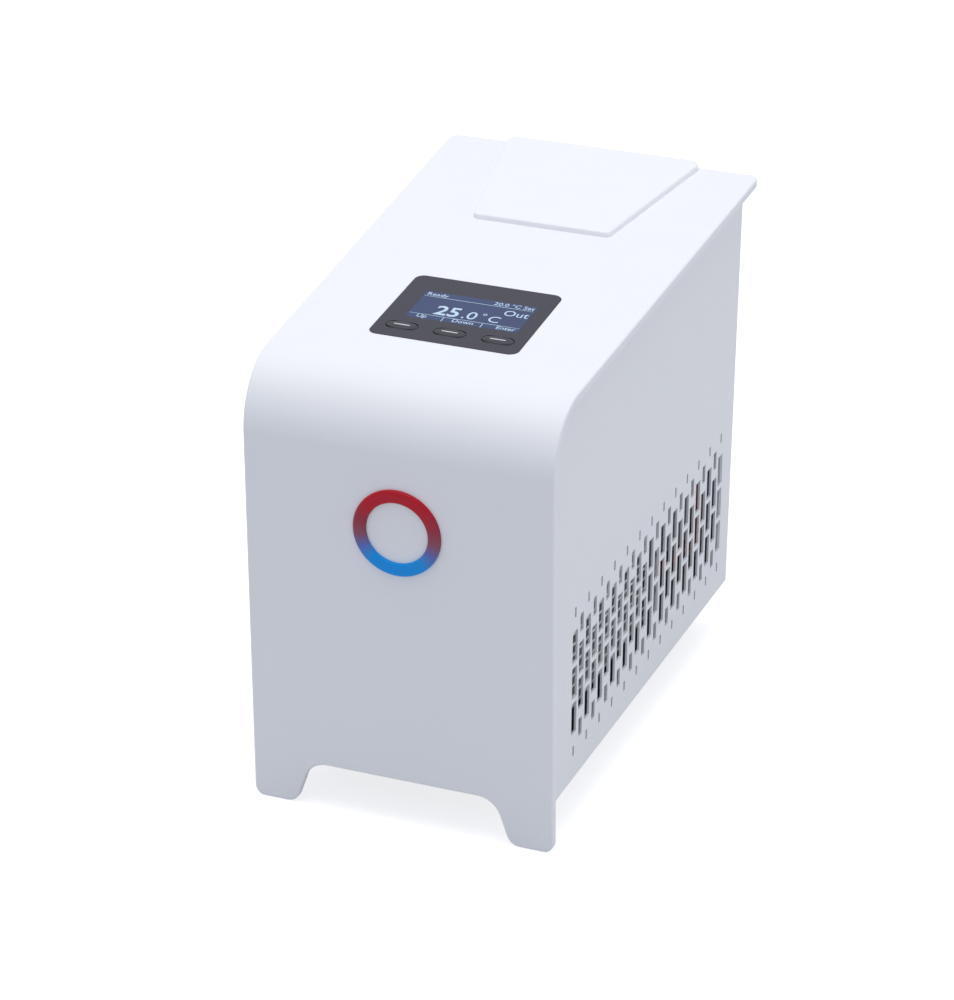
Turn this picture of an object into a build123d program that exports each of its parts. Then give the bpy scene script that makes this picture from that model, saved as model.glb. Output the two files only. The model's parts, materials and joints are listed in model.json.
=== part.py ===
from build123d import *
import os
from math import cos, radians, sin, tan

# Laboratory circulator with a thermoelectric block, in millimetres.
# X is the width, Y runs from front to rear and Z is up. Every piece is drawn with Y counted from
# the face of the front feet, and all are moved together at the end, so that the origin lies on
# the floor under the middle of the whole.

# One-piece cover: front panel with feet, large bend, and a top that flares towards the rear
front_width = 164.5
rear_width = 178.7
cover_depth = 287.4
front_height = 240.9
top_slope = 5.2
front_lean = 1.7
bend_radius = 35.0
cover_wall = 5.0
cover_edge = 1.2
cover_rear_corner = 6.0
foot_gap_height = 25.2
foot_gap_half = 59.1
foot_gap_slant = 19.0
foot_gap_radius = 13.0
foot_inner_radius = 7.5
foot_outer_radius = 5.5
front_boss_radius = 5.0
front_boss_height = 39.0
front_boss_spread = 45.0

# Folded sheet of the cabinet
sheet = 1.2
base_sheet = 1.5
panel_setback = 1.85
body_bottom = 25.5
rear_edge_inset = 0.9
rear_lean = 1.3
rear_recess = 9.9
sheet_gap = 0.3
flange_width = 12.0
flange_height = 20.0
front_flange_gap = 1.5
post_leg = 12.0
rail_leg = 12.0
stud_length = 6.0
stud_drop = 7.0
nut_radius = 3.1
small_nut_height = 2.4
rail_front = 48.0
rail_rear = 268.0
shelf_height = 160.0
shelf_front = 10.0
partition_y = 164.0

# Graded field of slots in each side panel
slot_columns = 25
slot_first = 32.8
slot_pitch = 9.595
slot_rise = 20.2
slot_field_height = 81.5
full_slot = (7.1, 17.5)
medium_slot = (4.6, 10.2)
small_slot = (2.2, 5.7)
medium_shift = 0.6
small_shift = 1.1

# Ring on the front
ring_height = 166.6
ring_radius = 23.35
ring_hole_radius = 16.6
ring_proud = 2.0
ring_seat = 1.5
glue_gap = 0.05

# Display and its three keys, placed along the slope of the top
display_along = 85.3
display_width = 80.0
display_length = 68.0
display_radius = 5.0
display_thickness = 1.6
display_seat = 1.3
display_ledge = 4.0
glass_width = 60.4
glass_length = 29.6
glass_offset = (1.8, 3.2)
glass_thickness = 1.0
glass_lip = 1.5
key_along = -21.9
key_pitch = 25.75
key_width = 17.0
key_length = 7.6
key_proud = 0.5
key_gap = 0.2
key_flange = 1.0
board_drop = 7.6
board_thickness = 1.6
board_overhang = 1.0
board_screw_inset = 3.5
board_boss_radius = 3.2
module_width = 64.0
module_length = 38.0
module_along = 7.5
module_gap = 0.3
tact_side = 6.0
tact_height = 3.2
key_rest_gap = 0.6

# Lid over the filling opening
lid_front = 190.5
lid_length = 99.8
lid_front_width = 76.0
lid_rear_width = 112.8
lid_thickness = 3.0
lid_edge = 1.0
lid_front_corner = 3.0
lid_rear_corner = 6.0
opening_side_inset = 10.0
opening_front_inset = 10.0
opening_rear_inset = 27.0
opening_corner = 5.0
rim_gap = 0.6
rim_wall = 1.6
rim_depth = 3.5

# Reservoir on the shelf
tank_width = 104.0
tank_front = 192.0
tank_rear_gap = 6.0
tank_height = 72.0
tank_wall = 2.5
tank_corner = 8.0
spill_wall = 2.0
neck_radius = 21.0
neck_wall = 2.0
neck_rise = 5.0
strainer_wall = 1.2
strainer_depth = 30.0
strainer_fit = 0.4
strainer_slots = 8
strainer_slot = (3.0, 16.0)
stem_radius = 3.0
stem_x = -31.0
float_radius = 9.0
float_height = 18.0
float_gap = 0.3
stem_collar = 1.5

# Cooling block, modules and heat sinks, one behind the other across the width
block_half = 10.0
block_front = 48.0
block_length = 96.0
block_bottom = 63.0
block_height = 60.0
riser_side = 14.0
riser_inset = 12.0
module_side = 40.0
module_thickness = 3.9
sink_front = 32.0
sink_gap_rear = 4.0
sink_base = 7.0
sink_height = 72.0
sink_fins = 13
fin_thickness = 1.4
fin_panel_gap = 6.0
clamp_radius = 1.5
clamp_head_radius = 2.1
clamp_head_height = 3.0
clamp_inset = 18.0
stand_width = 14.0
stand_inset = 12.0

# Fan behind the heat sinks, blowing forwards
fan_side = 120.0
fan_depth = 25.0
fan_bore = 57.0
fan_corner = 6.0
fan_flange = 4.0
fan_hub = 20.0
fan_tip_gap = 1.5
fan_blades = 7
blade_thickness = 1.8
blade_pitch_angle = 42.0
blade_twist = 16.0
fan_hole_inset = 7.5
fan_hole_radius = 1.6
fan_post_radius = 6.0
fan_barrel = 2.0
fan_strut = 3.0
fan_end_gap = 1.0
blade_root_chord = 20.0
blade_tip_chord = 28.0
shaft_radius = 1.5
running_gap = 0.05

# Pump on the base, under the reservoir
pump_y = 236.0
pump_motor_radius = 22.0
pump_motor_height = 30.0
pump_head_radius = 25.0
pump_head_height = 20.0
pump_wall = 2.5
pump_plate = 2.0
pump_plate_side = 56.0
pump_stand = 5.0
pump_mount_radius = 5.0
pump_mount_inset = 7.0
pump_outlet_offset = 14.0
impeller_radius = 17.0
impeller_blades = 6
impeller_gap = 1.0
impeller_disc = 2.0
impeller_height = 10.0
impeller_sweep = 35.0

# Hoses and their fittings
hose_radius = 5.5
hose_bore = 4.05
spigot_radius = 4.0
spigot_length = 13.0
spigot_bore = 2.8
spigot_drop = 2.0
hose_seat = 10.0
hose_bend = 22.0
return_bend = 18.0
outlet_bend = 30.0
clamp_width = 5.0
clamp_wall = 0.8
pressure_lane = 66.5
duct_height = 142.0
port_height = 120.0
port_spread = 42.0
drain_x = 36.0
drain_y = 222.0
drain_height = 52.0
nozzle_radius = 5.0
nozzle_reach = 15.5
nozzle_flange = 3.0
nozzle_flange_radius = 9.0
nozzle_land = 6.0
barb_depth = 0.6
barbs = 3
nozzle_thread_radius = 6.0
nut_flats = 17.0
nut_height = 5.0
cap_radius = 8.0
cap_wall = 1.6
cap_gap = 0.1
cap_end_gap = 0.5

# Electrical pieces
inlet_x = -40.0
inlet_height = 62.0
inlet_width = 27.0
inlet_tall = 19.5
inlet_depth = 22.0
inlet_flange = 2.0
inlet_wall = 2.0
inlet_key = 4.0
pin_spread = 7.0
pin_rise = 2.0
pin_section = (2.0, 4.0)
pin_set_back = 3.0
switch_height = 96.0
switch_width = 26.0
switch_tall = 19.0
switch_depth = 16.0
rocker_width = 22.0
rocker_tall = 14.0
rocker_angle = 12.0
rocker_gap = 0.4
rocker_set_back = 1.0
socket_x = 4.0
socket_height = 92.0
socket_width = 19.0
socket_tall = 10.5
socket_ear = 6.0
socket_depth = 8.0
socket_reach = 5.5
supply_width = 92.0
supply_length = 120.0
supply_height = 42.0
supply_x = -26.0
supply_front = 22.0
supply_sheet = 1.0
supply_step = 14.0
control_x = 52.0
control_width = 44.0
control_length = 140.0
control_front = 22.0
terminal_width = 9.0
terminal_length = 10.0
terminal_height = 8.0
capacitor_radius = 8.0
capacitor_height = 25.0
capacitor_step = 22.0
pillar_height = 6.0
pillar_radius = 3.0
loom_radius = 3.0
loom_lane = 69.5
loom_y = 256.0
loom_bend = 12.0

# Feet under the rear, and fasteners
rear_foot_spread = 49.0
rear_foot_y = 252.0
rear_foot_radius = 9.0
foot_pad_height = 4.0
screw_radius = 1.5
screw_hole = 1.6
screw_head_radius = 2.9
screw_head_height = 1.8
screw_long = 8.0
screw_short = 5.0

# Values that follow from the sizes above
lean = radians(front_lean)
slope = radians(top_slope)
front_half = front_width / 2
rear_half = rear_width / 2
panel_outer = front_half - panel_setback
panel_inner = panel_outer - sheet
base_floor = body_bottom + sheet
base_top = base_floor + base_sheet
shelf_top = shelf_height + sheet
back_face = cover_depth - rear_recess
back_front = back_face - sheet
tank_rear = back_front - tank_rear_gap
tank_top = shelf_top + tank_height
tank_middle = (tank_front + tank_rear) / 2
sink_rear = partition_y - sink_gap_rear
fan_height = (base_top + shelf_height) / 2
fan_front = partition_y + sheet
block_middle = block_bottom + block_height / 2
fin_tip = panel_inner - fin_panel_gap
pump_base = base_top + pump_stand
head_bottom = pump_base + pump_plate + pump_motor_height
head_top = head_bottom + pump_head_height
lid_rear = lid_front + lid_length
nozzle_tip = back_face + nozzle_reach
spigot_tip_y = back_front - nut_height - 1 - spigot_length
cap_tip = nozzle_tip + cap_end_gap + cap_wall
rocker_axis_y = back_face - rocker_set_back
tank_spigot_tip = shelf_height - spigot_drop - spigot_length
front_flange_y = cover_wall / cos(lean) - body_bottom * tan(lean) + front_flange_gap


def top_z(y, depth=0.0):
    """Height of the top's face at y, or of a plane that lies depth below it."""
    return front_height + y * tan(slope) - depth / cos(slope)


def front_y(z, depth=0.0):
    """Place of the front's face at height z, or of a plane that lies depth behind it."""
    return depth / cos(lean) - z * tan(lean)


def bend_corner(depth):
    """Where front and top, both moved in by depth, would meet if there were no bend."""
    rise = tan(slope) * depth / cos(lean)
    z = (top_z(0, depth) + rise) / (1 + tan(slope) * tan(lean))
    return front_y(z, depth), z


# The bend bulges ahead of the feet by a little, and the drain's cap reaches furthest back.
bulge_y = bend_corner(bend_radius)[0] - bend_radius
origin_y = (bulge_y + cap_tip) / 2


def cover_half(y):
    """Half of the cover's width at y."""
    return front_half + (rear_half - front_half) * y / cover_depth


def top_plane(along, depth=0.0, x=0.0):
    """Plane on the top, a distance up its slope and a depth under it; its Z points out."""
    origin = (
        x,
        along * cos(slope) + depth * sin(slope),
        front_height + along * sin(slope) - depth * cos(slope),
    )
    return Plane(origin=origin, x_dir=(1, 0, 0), z_dir=(0, -sin(slope), cos(slope)))


def front_plane(z, depth=0.0):
    """Plane on the leaning front at height z and a depth behind it; its Z points out."""
    origin = (0, front_y(z, depth), z)
    return Plane(origin=origin, x_dir=(1, 0, 0), z_dir=(0, -cos(lean), -sin(lean)))


def block(x0, x1, y0, y1, z0, z1):
    """Box between two corners."""
    middle = ((x0 + x1) / 2, (y0 + y1) / 2, (z0 + z1) / 2)
    return Pos(*middle) * Box(abs(x1 - x0), abs(y1 - y0), abs(z1 - z0))


def rod(start, direction, radius, length):
    """Round bar from a point along a direction."""
    return extrude(Plane(origin=start, z_dir=direction) * Circle(radius), amount=length)


def pipe(start, direction, radius, bore, length):
    """Round tube from a point along a direction."""
    ring = Circle(radius) - Circle(bore)
    return extrude(Plane(origin=start, z_dir=direction) * ring, amount=length)


def turned(profile, start, direction):
    """Turned piece: a profile of (radius, distance) points about an axis from start."""
    face = make_face(Polyline(*profile, close=True))
    solid = revolve(Plane.XZ * face, axis=Axis.Z)
    return Plane(origin=start, z_dir=direction) * solid


def group(pieces):
    """Several separate solids as one node."""
    return Compound([solid for piece in pieces for solid in piece.solids()])


def screw(seat, direction, length):
    """Pan-head screw: the head sits on the seat, and the shank runs on along the direction."""
    profile = [
        (0, length),
        (screw_radius, length),
        (screw_radius, 0),
        (screw_head_radius, 0),
        (screw_head_radius, -0.5 * screw_head_height),
        (0.6 * screw_head_radius, -screw_head_height),
        (0, -screw_head_height),
    ]
    return turned(profile, seat, direction)


def side_section(depth, bottom, rear_low, rear_high):
    """Side view of the body inside the cover's skin moved in by depth, down to bottom."""
    corner = bend_corner(depth)
    points = [
        (front_y(bottom, depth), bottom),
        corner,
        (rear_high, top_z(rear_high, depth)),
        (rear_low, bottom),
    ]
    face = make_face(Polyline(*points, close=True))
    bend = face.vertices().sort_by_distance((corner[0], corner[1], 0))[0]
    return Plane.YZ * fillet(bend, bend_radius - depth)


def trapezoid(front, rear, front_half_width, rear_half_width, front_corner, rear_corner):
    """Plate outline on the top, widening towards the rear, with rounded corners."""
    points = [
        (-front_half_width, front),
        (front_half_width, front),
        (rear_half_width, rear),
        (-rear_half_width, rear),
    ]
    face = make_face(Polyline(*points, close=True))
    face = fillet(face.vertices().sort_by(Axis.Y)[:2], front_corner)
    return fillet(face.vertices().group_by(Axis.Y)[-1], rear_corner)


def lid_half(along):
    """Half of the lid's width at a distance up the slope."""
    share = (along - lid_front) / lid_length
    return (lid_front_width + (lid_rear_width - lid_front_width) * share) / 2


def opening_outline(grow=0.0):
    """Outline of the filling opening under the lid, grown by an amount on every side."""
    front = lid_front + opening_front_inset - grow
    rear = lid_rear - opening_rear_inset + grow
    inset = opening_side_inset - grow
    halves = lid_half(front) - inset, lid_half(rear) - inset
    corner = opening_corner + grow
    return trapezoid(front, rear, *halves, corner, corner)


def foot_cutout():
    """Profile of the gap between the two feet, as seen from the front."""
    narrow = foot_gap_half - foot_gap_height * tan(radians(foot_gap_slant))
    below = foot_gap_half + foot_gap_height * tan(radians(foot_gap_slant))
    points = [
        (-below, -foot_gap_height),
        (below, -foot_gap_height),
        (narrow, foot_gap_height),
        (-narrow, foot_gap_height),
    ]
    face = make_face(Polyline(*points, close=True))
    return Plane.XZ * fillet(face.vertices().group_by(Axis.Y)[-1], foot_gap_radius)


def board_screw_places():
    """Centres of the display board's four screws, on the plane of the top."""
    half_width = display_width / 2 + board_overhang - board_screw_inset
    half_length = display_length / 2 + board_overhang - board_screw_inset
    return [(x, y) for x in (-half_width, half_width) for y in (-half_length, half_length)]


def rail_screw_places():
    """Points where the rails are screwed to the cover."""
    ends = rail_front + rail_leg, rail_rear - rail_leg
    x = panel_inner - rail_leg / 2
    return [(side * x, y) for side in (-1, 1) for y in (ends[0], sum(ends) / 2, ends[1])]


def post_height():
    """Top of the corner posts, just under the rails."""
    return top_z(back_front, cover_wall + rail_leg) - 2


def rear_screw_heights():
    """Heights of the screws that hold the rear panel to its corner posts."""
    low, high = base_top + post_leg, post_height() - post_leg
    return [low, (low + high) / 2, high]


def base_screw_depths():
    """Places, from front to rear, of the screws that hold the side panels to the base."""
    low, high = 3 * post_leg, back_front - 2 * post_leg
    return [low, (low + high) / 2, high]


def stud_depths():
    """Places of the studs on which the equipment shelf hangs."""
    return [shelf_front + 3 * post_leg, back_front - 4 * post_leg]


def slope_point(x, y, depth):
    """Point at a depth under the top's face."""
    return top_plane(y / cos(slope), depth, x).origin


def rounded_skin():
    """Bent wall of the cover with its two feet and every edge rounded."""
    past = cover_depth + cover_wall
    skin = extrude(side_section(0, 0, cover_depth, cover_depth), rear_width, both=True)
    skin -= extrude(side_section(cover_wall, -cover_wall, past, past), rear_width, both=True)
    front_corner = cover_half(-bend_radius), -bend_radius
    plan = [
        (-front_corner[0], front_corner[1]),
        front_corner,
        (rear_half, cover_depth),
        (-rear_half, cover_depth),
    ]
    outline = make_face(Polyline(*plan, close=True))
    outline = fillet(outline.vertices().group_by(Axis.Y)[-1], cover_rear_corner)
    skin &= extrude(outline, 2 * front_height)
    skin -= extrude(foot_cutout(), bend_radius, both=True)
    for radius, wanted in ((foot_inner_radius, False), (foot_outer_radius, True)):
        across = skin.edges().filter_by(lambda edge: edge.center().Z < 1)
        across = across.filter_by(lambda edge: edge.length < 1.1 * cover_wall)
        outside = 0.98 * front_half
        skin = fillet([e for e in across if (abs(e.center().X) > outside) == wanted], radius)
    return fillet(skin.edges(), cover_edge)


def front_top_cover():
    """Front and top in one bent wall, with feet, bosses and the openings for what it carries."""
    cover = rounded_skin()
    through = cover_wall + 2
    seat_width = display_width + 2 * glue_gap
    seat_length = display_length + 2 * glue_gap
    seat = RectangleRounded(seat_width, seat_length, display_radius + glue_gap)
    window_width = display_width - 2 * display_ledge
    window_length = display_length - 2 * display_ledge
    window = Rectangle(window_width, window_length)
    cover -= extrude(top_plane(display_along, display_seat) * seat, through)
    cover -= extrude(top_plane(display_along, cover_wall + 1) * window, through)
    cover -= extrude(top_plane(0, cover_wall + 1) * opening_outline(), through)
    groove = Circle(ring_radius + glue_gap) - Circle(ring_hole_radius - glue_gap)
    cover -= extrude(front_plane(ring_height, ring_seat) * groove, through)
    boss_height = board_drop - cover_wall + 1
    for x, y in board_screw_places():
        place = top_plane(display_along, board_drop) * Pos(x, y, 0)
        cover += place * extrude(Circle(board_boss_radius), boss_height)
        cover -= place * extrude(Circle(screw_hole), boss_height)
    up = top_plane(0).z_dir
    for x, y in rail_screw_places():
        start = slope_point(x, y, cover_wall + 1)
        cover -= rod(start, up, screw_hole, cover_wall - 1)
    for side in (-1, 1):
        wall_y = front_y(front_boss_height, cover_wall)
        start = (side * front_boss_spread, wall_y - 1, front_boss_height)
        cover += rod(start, (0, 1, 0), front_boss_radius, front_flange_y - start[1])
        cover -= rod(start, (0, 1, 0), screw_hole, front_flange_y - start[1])
    return cover


def slot_places():
    """Each slot of the field as (y, z, width, height): the end rows are smaller."""
    places = []
    for column in range(slot_columns):
        y = slot_first + column * slot_pitch
        if column % 2 == 0:
            rows = [0.0, slot_rise, -slot_rise]
            end, end_row = small_slot, 2 * slot_rise - small_shift
        else:
            rows = [slot_rise / 2, -slot_rise / 2]
            end, end_row = medium_slot, 1.5 * slot_rise - medium_shift
        places += [(y, slot_field_height + row, *full_slot) for row in rows]
        places += [(y, slot_field_height + row, *end) for row in (-end_row, end_row)]
    return places


def side_panel(side):
    """Side wall with its slot field, a folded edge below, and pressed-in studs."""
    depth = cover_wall + sheet_gap
    rear_high = cover_depth - rear_edge_inset
    rear_low = rear_high - (top_z(rear_high) - body_bottom) * tan(radians(rear_lean))
    wall = side_section(depth, body_bottom, rear_low, rear_high)
    slots = Sketch() + [Pos(y, z) * Rectangle(w, h) for y, z, w, h in slot_places()]
    panel = extrude(wall, sheet) - extrude(Plane.YZ * slots, 2 * sheet, both=True)
    panel = Pos(panel_inner, 0, 0) * panel
    inner_edge = panel_inner - flange_width
    low_front = front_y(body_bottom, depth)
    panel += block(inner_edge, panel_inner, low_front, back_front, body_bottom, base_floor)
    fold = panel.edges().filter_by(Axis.Y).sort_by_distance((panel_outer, 0, body_bottom))[0]
    panel = fillet(fold, 0.9 * sheet)
    for y in base_screw_depths():
        start = (panel_inner - flange_width / 2, y, body_bottom - sheet)
        panel -= rod(start, (0, 0, 1), screw_hole, 3 * sheet)
    for y in stud_depths():
        panel += rod((panel_inner, y, shelf_top - stud_drop), (-1, 0, 0), screw_radius, stud_length)
    return panel if side > 0 else mirror(panel, about=Plane.YZ)


def base_tray():
    """Floor of the cabinet, turned up at the front and the rear."""
    half = panel_inner - sheet_gap
    low_half = half - post_leg - 1
    tray = block(-half, half, front_flange_y, back_front, base_floor, base_top)
    front_inner = front_flange_y + base_sheet
    tray += block(-low_half, low_half, front_flange_y, front_inner, base_top, base_top + flange_height)
    rear_inner = back_front - base_sheet
    tray += block(-low_half, low_half, rear_inner, back_front, base_top, base_top + post_leg)
    for y in (front_flange_y, back_front):
        fold = tray.edges().filter_by(Axis.X).sort_by_distance((0, y, base_floor))[0]
        tray = fillet(fold, 0.9 * base_sheet)
    for x, y in base_screw_places() + partition_screw_places():
        tray -= rod((x, y, base_floor - 1), (0, 0, 1), screw_hole, 3 * base_sheet)
    for side in (-1, 1):
        start = (side * rear_foot_spread, rear_foot_y, base_floor - 1)
        tray -= rod(start, (0, 0, 1), screw_hole, 3 * base_sheet)
        start = (side * front_boss_spread, front_flange_y - 1, front_boss_height)
        tray -= rod(start, (0, 1, 0), screw_hole, 3 * base_sheet)
        start = (side * front_boss_spread, rear_inner - 1, base_top + post_leg / 2)
        tray -= rod(start, (0, 1, 0), screw_hole, 3 * base_sheet)
    return tray


def base_screw_places():
    """Screws along both sides of the base, from below."""
    x = panel_inner - flange_width / 2
    return [(side * x, y) for side in (-1, 1) for y in base_screw_depths()]


def corner_post(side):
    """Angle in a rear corner that carries the rear panel."""
    inner = panel_inner - post_leg
    leg_front = back_front - post_leg
    post = block(panel_inner - sheet, panel_inner, leg_front, back_front, base_top, post_height())
    post += block(inner, panel_inner, back_front - sheet, back_front, base_top, post_height())
    for z in rear_screw_heights():
        start = (panel_inner - post_leg / 2, back_front - 2 * sheet, z)
        post -= rod(start, (0, 1, 0), screw_hole, 3 * sheet)
    return post if side > 0 else mirror(post, about=Plane.YZ)


def cover_rail(side):
    """Angle along the top of a side panel that carries the cover."""
    front, rear = rail_front / cos(slope), rail_rear / cos(slope)
    upright = block(panel_inner - sheet, panel_inner, front, rear, -cover_wall - rail_leg, -cover_wall)
    flat = block(panel_inner - rail_leg, panel_inner, front, rear, -cover_wall - sheet, -cover_wall)
    rail = top_plane(0) * (upright + flat)
    up = top_plane(0).z_dir
    for x, y in rail_screw_places()[3:]:
        rail -= rod(slope_point(x, y, cover_wall + 2 * sheet), up, screw_hole, 3 * sheet)
    return rail if side > 0 else mirror(rail, about=Plane.YZ)


def equipment_shelf():
    """Shelf that hangs between the side panels by its folded edges."""
    post_front = back_front - post_leg - 1
    shelf = block(-panel_inner, panel_inner, shelf_front, post_front, shelf_height, shelf_top)
    middle_half = panel_inner - post_leg - 1
    rear = back_front - sheet_gap
    shelf += block(-middle_half, middle_half, post_front, rear, shelf_height, shelf_top)
    for side in (-1, 1):
        outer = side * panel_inner
        inner = side * (panel_inner - sheet)
        shelf += block(inner, outer, shelf_front, post_front, shelf_top - rail_leg, shelf_top)
        for y in stud_depths():
            start = (side * (panel_inner - 2 * sheet), y, shelf_top - stud_drop)
            shelf -= rod(start, (side, 0, 0), screw_hole, 3 * sheet)
    for x, y in tank_spigots():
        shelf -= rod((x, y, shelf_height - 1), (0, 0, 1), spigot_radius + 1, 3 * sheet)
    shelf -= rod((loom_lane, loom_y, shelf_height - 1), (0, 0, 1), loom_radius + 1.5, 3 * sheet)
    return shelf


def partition_plate():
    """Upright plate that carries the fan and keeps intake and exhaust air apart."""
    half = panel_inner - sheet - sheet_gap
    rear = partition_y + sheet
    plate = block(-half, half, partition_y, rear, base_top, shelf_height)
    plate += block(-half, half, partition_y - post_leg, rear, base_top, base_top + sheet)
    centre = (0, partition_y - 1, fan_height)
    plate -= rod(centre, (0, 1, 0), fan_bore, 3 * sheet)
    for x in (-pressure_lane, pressure_lane):
        plate -= rod((x, partition_y - 1, duct_height), (0, 1, 0), hose_radius + 1, 3 * sheet)
    for x, z in fan_hole_places():
        plate -= rod((x, partition_y - 1, z), (0, 1, 0), screw_hole, 3 * sheet)
    for x, y in partition_screw_places():
        plate -= rod((x, y, base_top - 1), (0, 0, 1), screw_hole, 3 * sheet)
    return plate


def rear_panel():
    """Rear wall with its cut-outs for the nozzles and the electrical pieces."""
    half = panel_inner - sheet_gap
    high = top_z(back_front, cover_wall) - 2 * sheet_gap
    panel = block(-half, half, back_front, back_face, base_floor, high)
    start_y = back_front - 1
    for x, z in nozzle_places():
        panel -= rod((x, start_y, z), (0, 1, 0), nozzle_thread_radius + glue_gap, 3 * sheet)
    cut_outs = [
        (inlet_x, inlet_height, inlet_width, inlet_tall),
        (inlet_x, switch_height, switch_width, switch_tall),
        (socket_x, socket_height, socket_width, socket_tall),
    ]
    for x, z, wide, tall in cut_outs:
        wide, tall = wide / 2 + glue_gap, tall / 2 + glue_gap
        panel -= block(x - wide, x + wide, start_y, back_face + 1, z - tall, z + tall)
    for x, z in rear_screw_places():
        panel -= rod((x, start_y, z), (0, 1, 0), screw_hole, 3 * sheet)
    return panel


def rear_screw_places():
    """Screws of the rear panel, in both posts and in the base's rear edge."""
    x = panel_inner - post_leg / 2
    places = [(side * x, z) for side in (-1, 1) for z in rear_screw_heights()]
    low = base_top + post_leg / 2
    return places + [(side * front_boss_spread, low) for side in (-1, 1)]


def indicator_ring():
    """Domed ring, let into the front."""
    middle = (ring_radius + ring_hole_radius) / 2
    shoulder = 0.3 * ring_proud
    sides = Polyline(
        (ring_hole_radius, shoulder),
        (ring_hole_radius, -ring_seat),
        (ring_radius, -ring_seat),
        (ring_radius, shoulder),
    )
    dome = ThreePointArc((ring_radius, shoulder), (middle, ring_proud), (ring_hole_radius, shoulder))
    ring = revolve(Plane.XZ * make_face(sides + dome), axis=Axis.Z)
    return front_plane(ring_height) * ring


def key_places():
    """Centres of the three keys on the display's plane."""
    return [(n * key_pitch, key_along) for n in (-1, 0, 1)]


def display_bezel():
    """Dark front plate of the display, with a seat for the glass and three key holes."""
    plate = extrude(RectangleRounded(display_width, display_length, display_radius), display_thickness)
    plate = fillet(plate.edges().group_by(Axis.Z)[-1], 0.2 * display_thickness)
    glass = Rectangle(glass_width + 2 * glue_gap, glass_length + 2 * glue_gap)
    seat_height = display_thickness - glass_thickness
    plate -= Pos(*glass_offset, seat_height) * extrude(glass, display_thickness)
    view = Rectangle(glass_width - 2 * glass_lip, glass_length - 2 * glass_lip)
    plate -= Pos(*glass_offset) * extrude(view, display_thickness)
    for x, y in key_places():
        hole = SlotOverall(key_width + 2 * key_gap, key_length + 2 * key_gap)
        plate -= Pos(x, y, 0) * extrude(hole, display_thickness)
    return top_plane(display_along, display_seat) * plate


def display_glass():
    """Window over the picture area, let into the bezel."""
    glass = Box(glass_width, glass_length, glass_thickness)
    middle = display_thickness - glass_thickness / 2
    return top_plane(display_along, display_seat) * Pos(*glass_offset, middle) * glass


def key(number):
    """Key cap with a flange that keeps it under the bezel, and a stem over its switch."""
    x, y = key_places()[number]
    cap_height = display_thickness + key_proud + glue_gap
    cap = Pos(0, 0, -glue_gap) * extrude(SlotOverall(key_width, key_length), cap_height)
    cap = fillet(cap.edges().group_by(Axis.Z)[-1], 0.8 * key_proud)
    flange = SlotOverall(key_width + 2 * key_flange, key_length + 2 * key_flange)
    flange_top = glue_gap
    cap += Pos(0, 0, -flange_top - key_flange) * extrude(flange, key_flange)
    stem_top = -flange_top - key_flange
    stem_end = display_seat - board_drop + tact_height + key_rest_gap
    cap += Pos(0, 0, stem_end) * extrude(Rectangle(tact_side / 2, tact_side / 2), stem_top - stem_end)
    return top_plane(display_along, display_seat) * Pos(x, y, 0) * cap


def display_board():
    """Board under the display, with a switch below each key."""
    wide = display_width + 2 * board_overhang
    long = display_length + 2 * board_overhang
    board = Pos(0, 0, -board_thickness / 2) * Box(wide, long, board_thickness)
    for x, y in key_places():
        board += Pos(x, y, tact_height / 2) * Box(tact_side, tact_side, tact_height)
    for x, y in board_screw_places():
        board -= Pos(x, y, -board_thickness) * extrude(Circle(screw_hole), board_thickness)
    return top_plane(display_along, board_drop) * board


def display_module():
    """Picture unit on the board, in a sheet frame with bevelled edges."""
    height = board_drop - display_seat - module_gap
    module = Box(module_width, module_length, height)
    module = chamfer(module.edges().group_by(Axis.Z)[-1], 1)
    place = top_plane(display_along, board_drop)
    return place * Pos(0, module_along, height / 2) * module


def filler_lid():
    """Lid plate with rounded edges and a rim that drops into the filling opening."""
    halves = lid_front_width / 2, lid_rear_width / 2
    outline = trapezoid(lid_front, lid_rear, *halves, lid_front_corner, lid_rear_corner)
    plate = extrude(outline, lid_thickness)
    plate = fillet(plate.edges().group_by(Axis.Z)[-1], lid_edge)
    rim = opening_outline(-rim_gap) - opening_outline(-rim_gap - rim_wall)
    plate += Pos(0, 0, -rim_depth) * extrude(rim, rim_depth + lid_thickness / 2)
    return top_plane(0) * plate


def tank_outline(shrink=0.0):
    """Plan of the reservoir, made smaller by an amount on every side."""
    wide = tank_width - 2 * shrink
    long = tank_rear - tank_front - 2 * shrink
    return Pos(0, tank_middle) * RectangleRounded(wide, long, tank_corner - shrink)


def tank_spigots():
    """Outlets in the floor of the reservoir: to the pump, from the return, and to the drain."""
    return [(0, pump_y), (-port_spread, pump_y), (drain_x, drain_y)]


def reservoir_body():
    """Open tank with three hose spigots under its floor."""
    tank = Pos(0, 0, shelf_top) * extrude(tank_outline(), tank_height)
    tank -= Pos(0, 0, shelf_top + tank_wall) * extrude(tank_outline(tank_wall), tank_height)
    for x, y in tank_spigots():
        length = shelf_top + tank_wall - tank_spigot_tip
        tank += rod((x, y, tank_spigot_tip), (0, 0, 1), spigot_radius, length)
        tank -= rod((x, y, tank_spigot_tip), (0, 0, 1), spigot_bore, length)
    return tank


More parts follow.
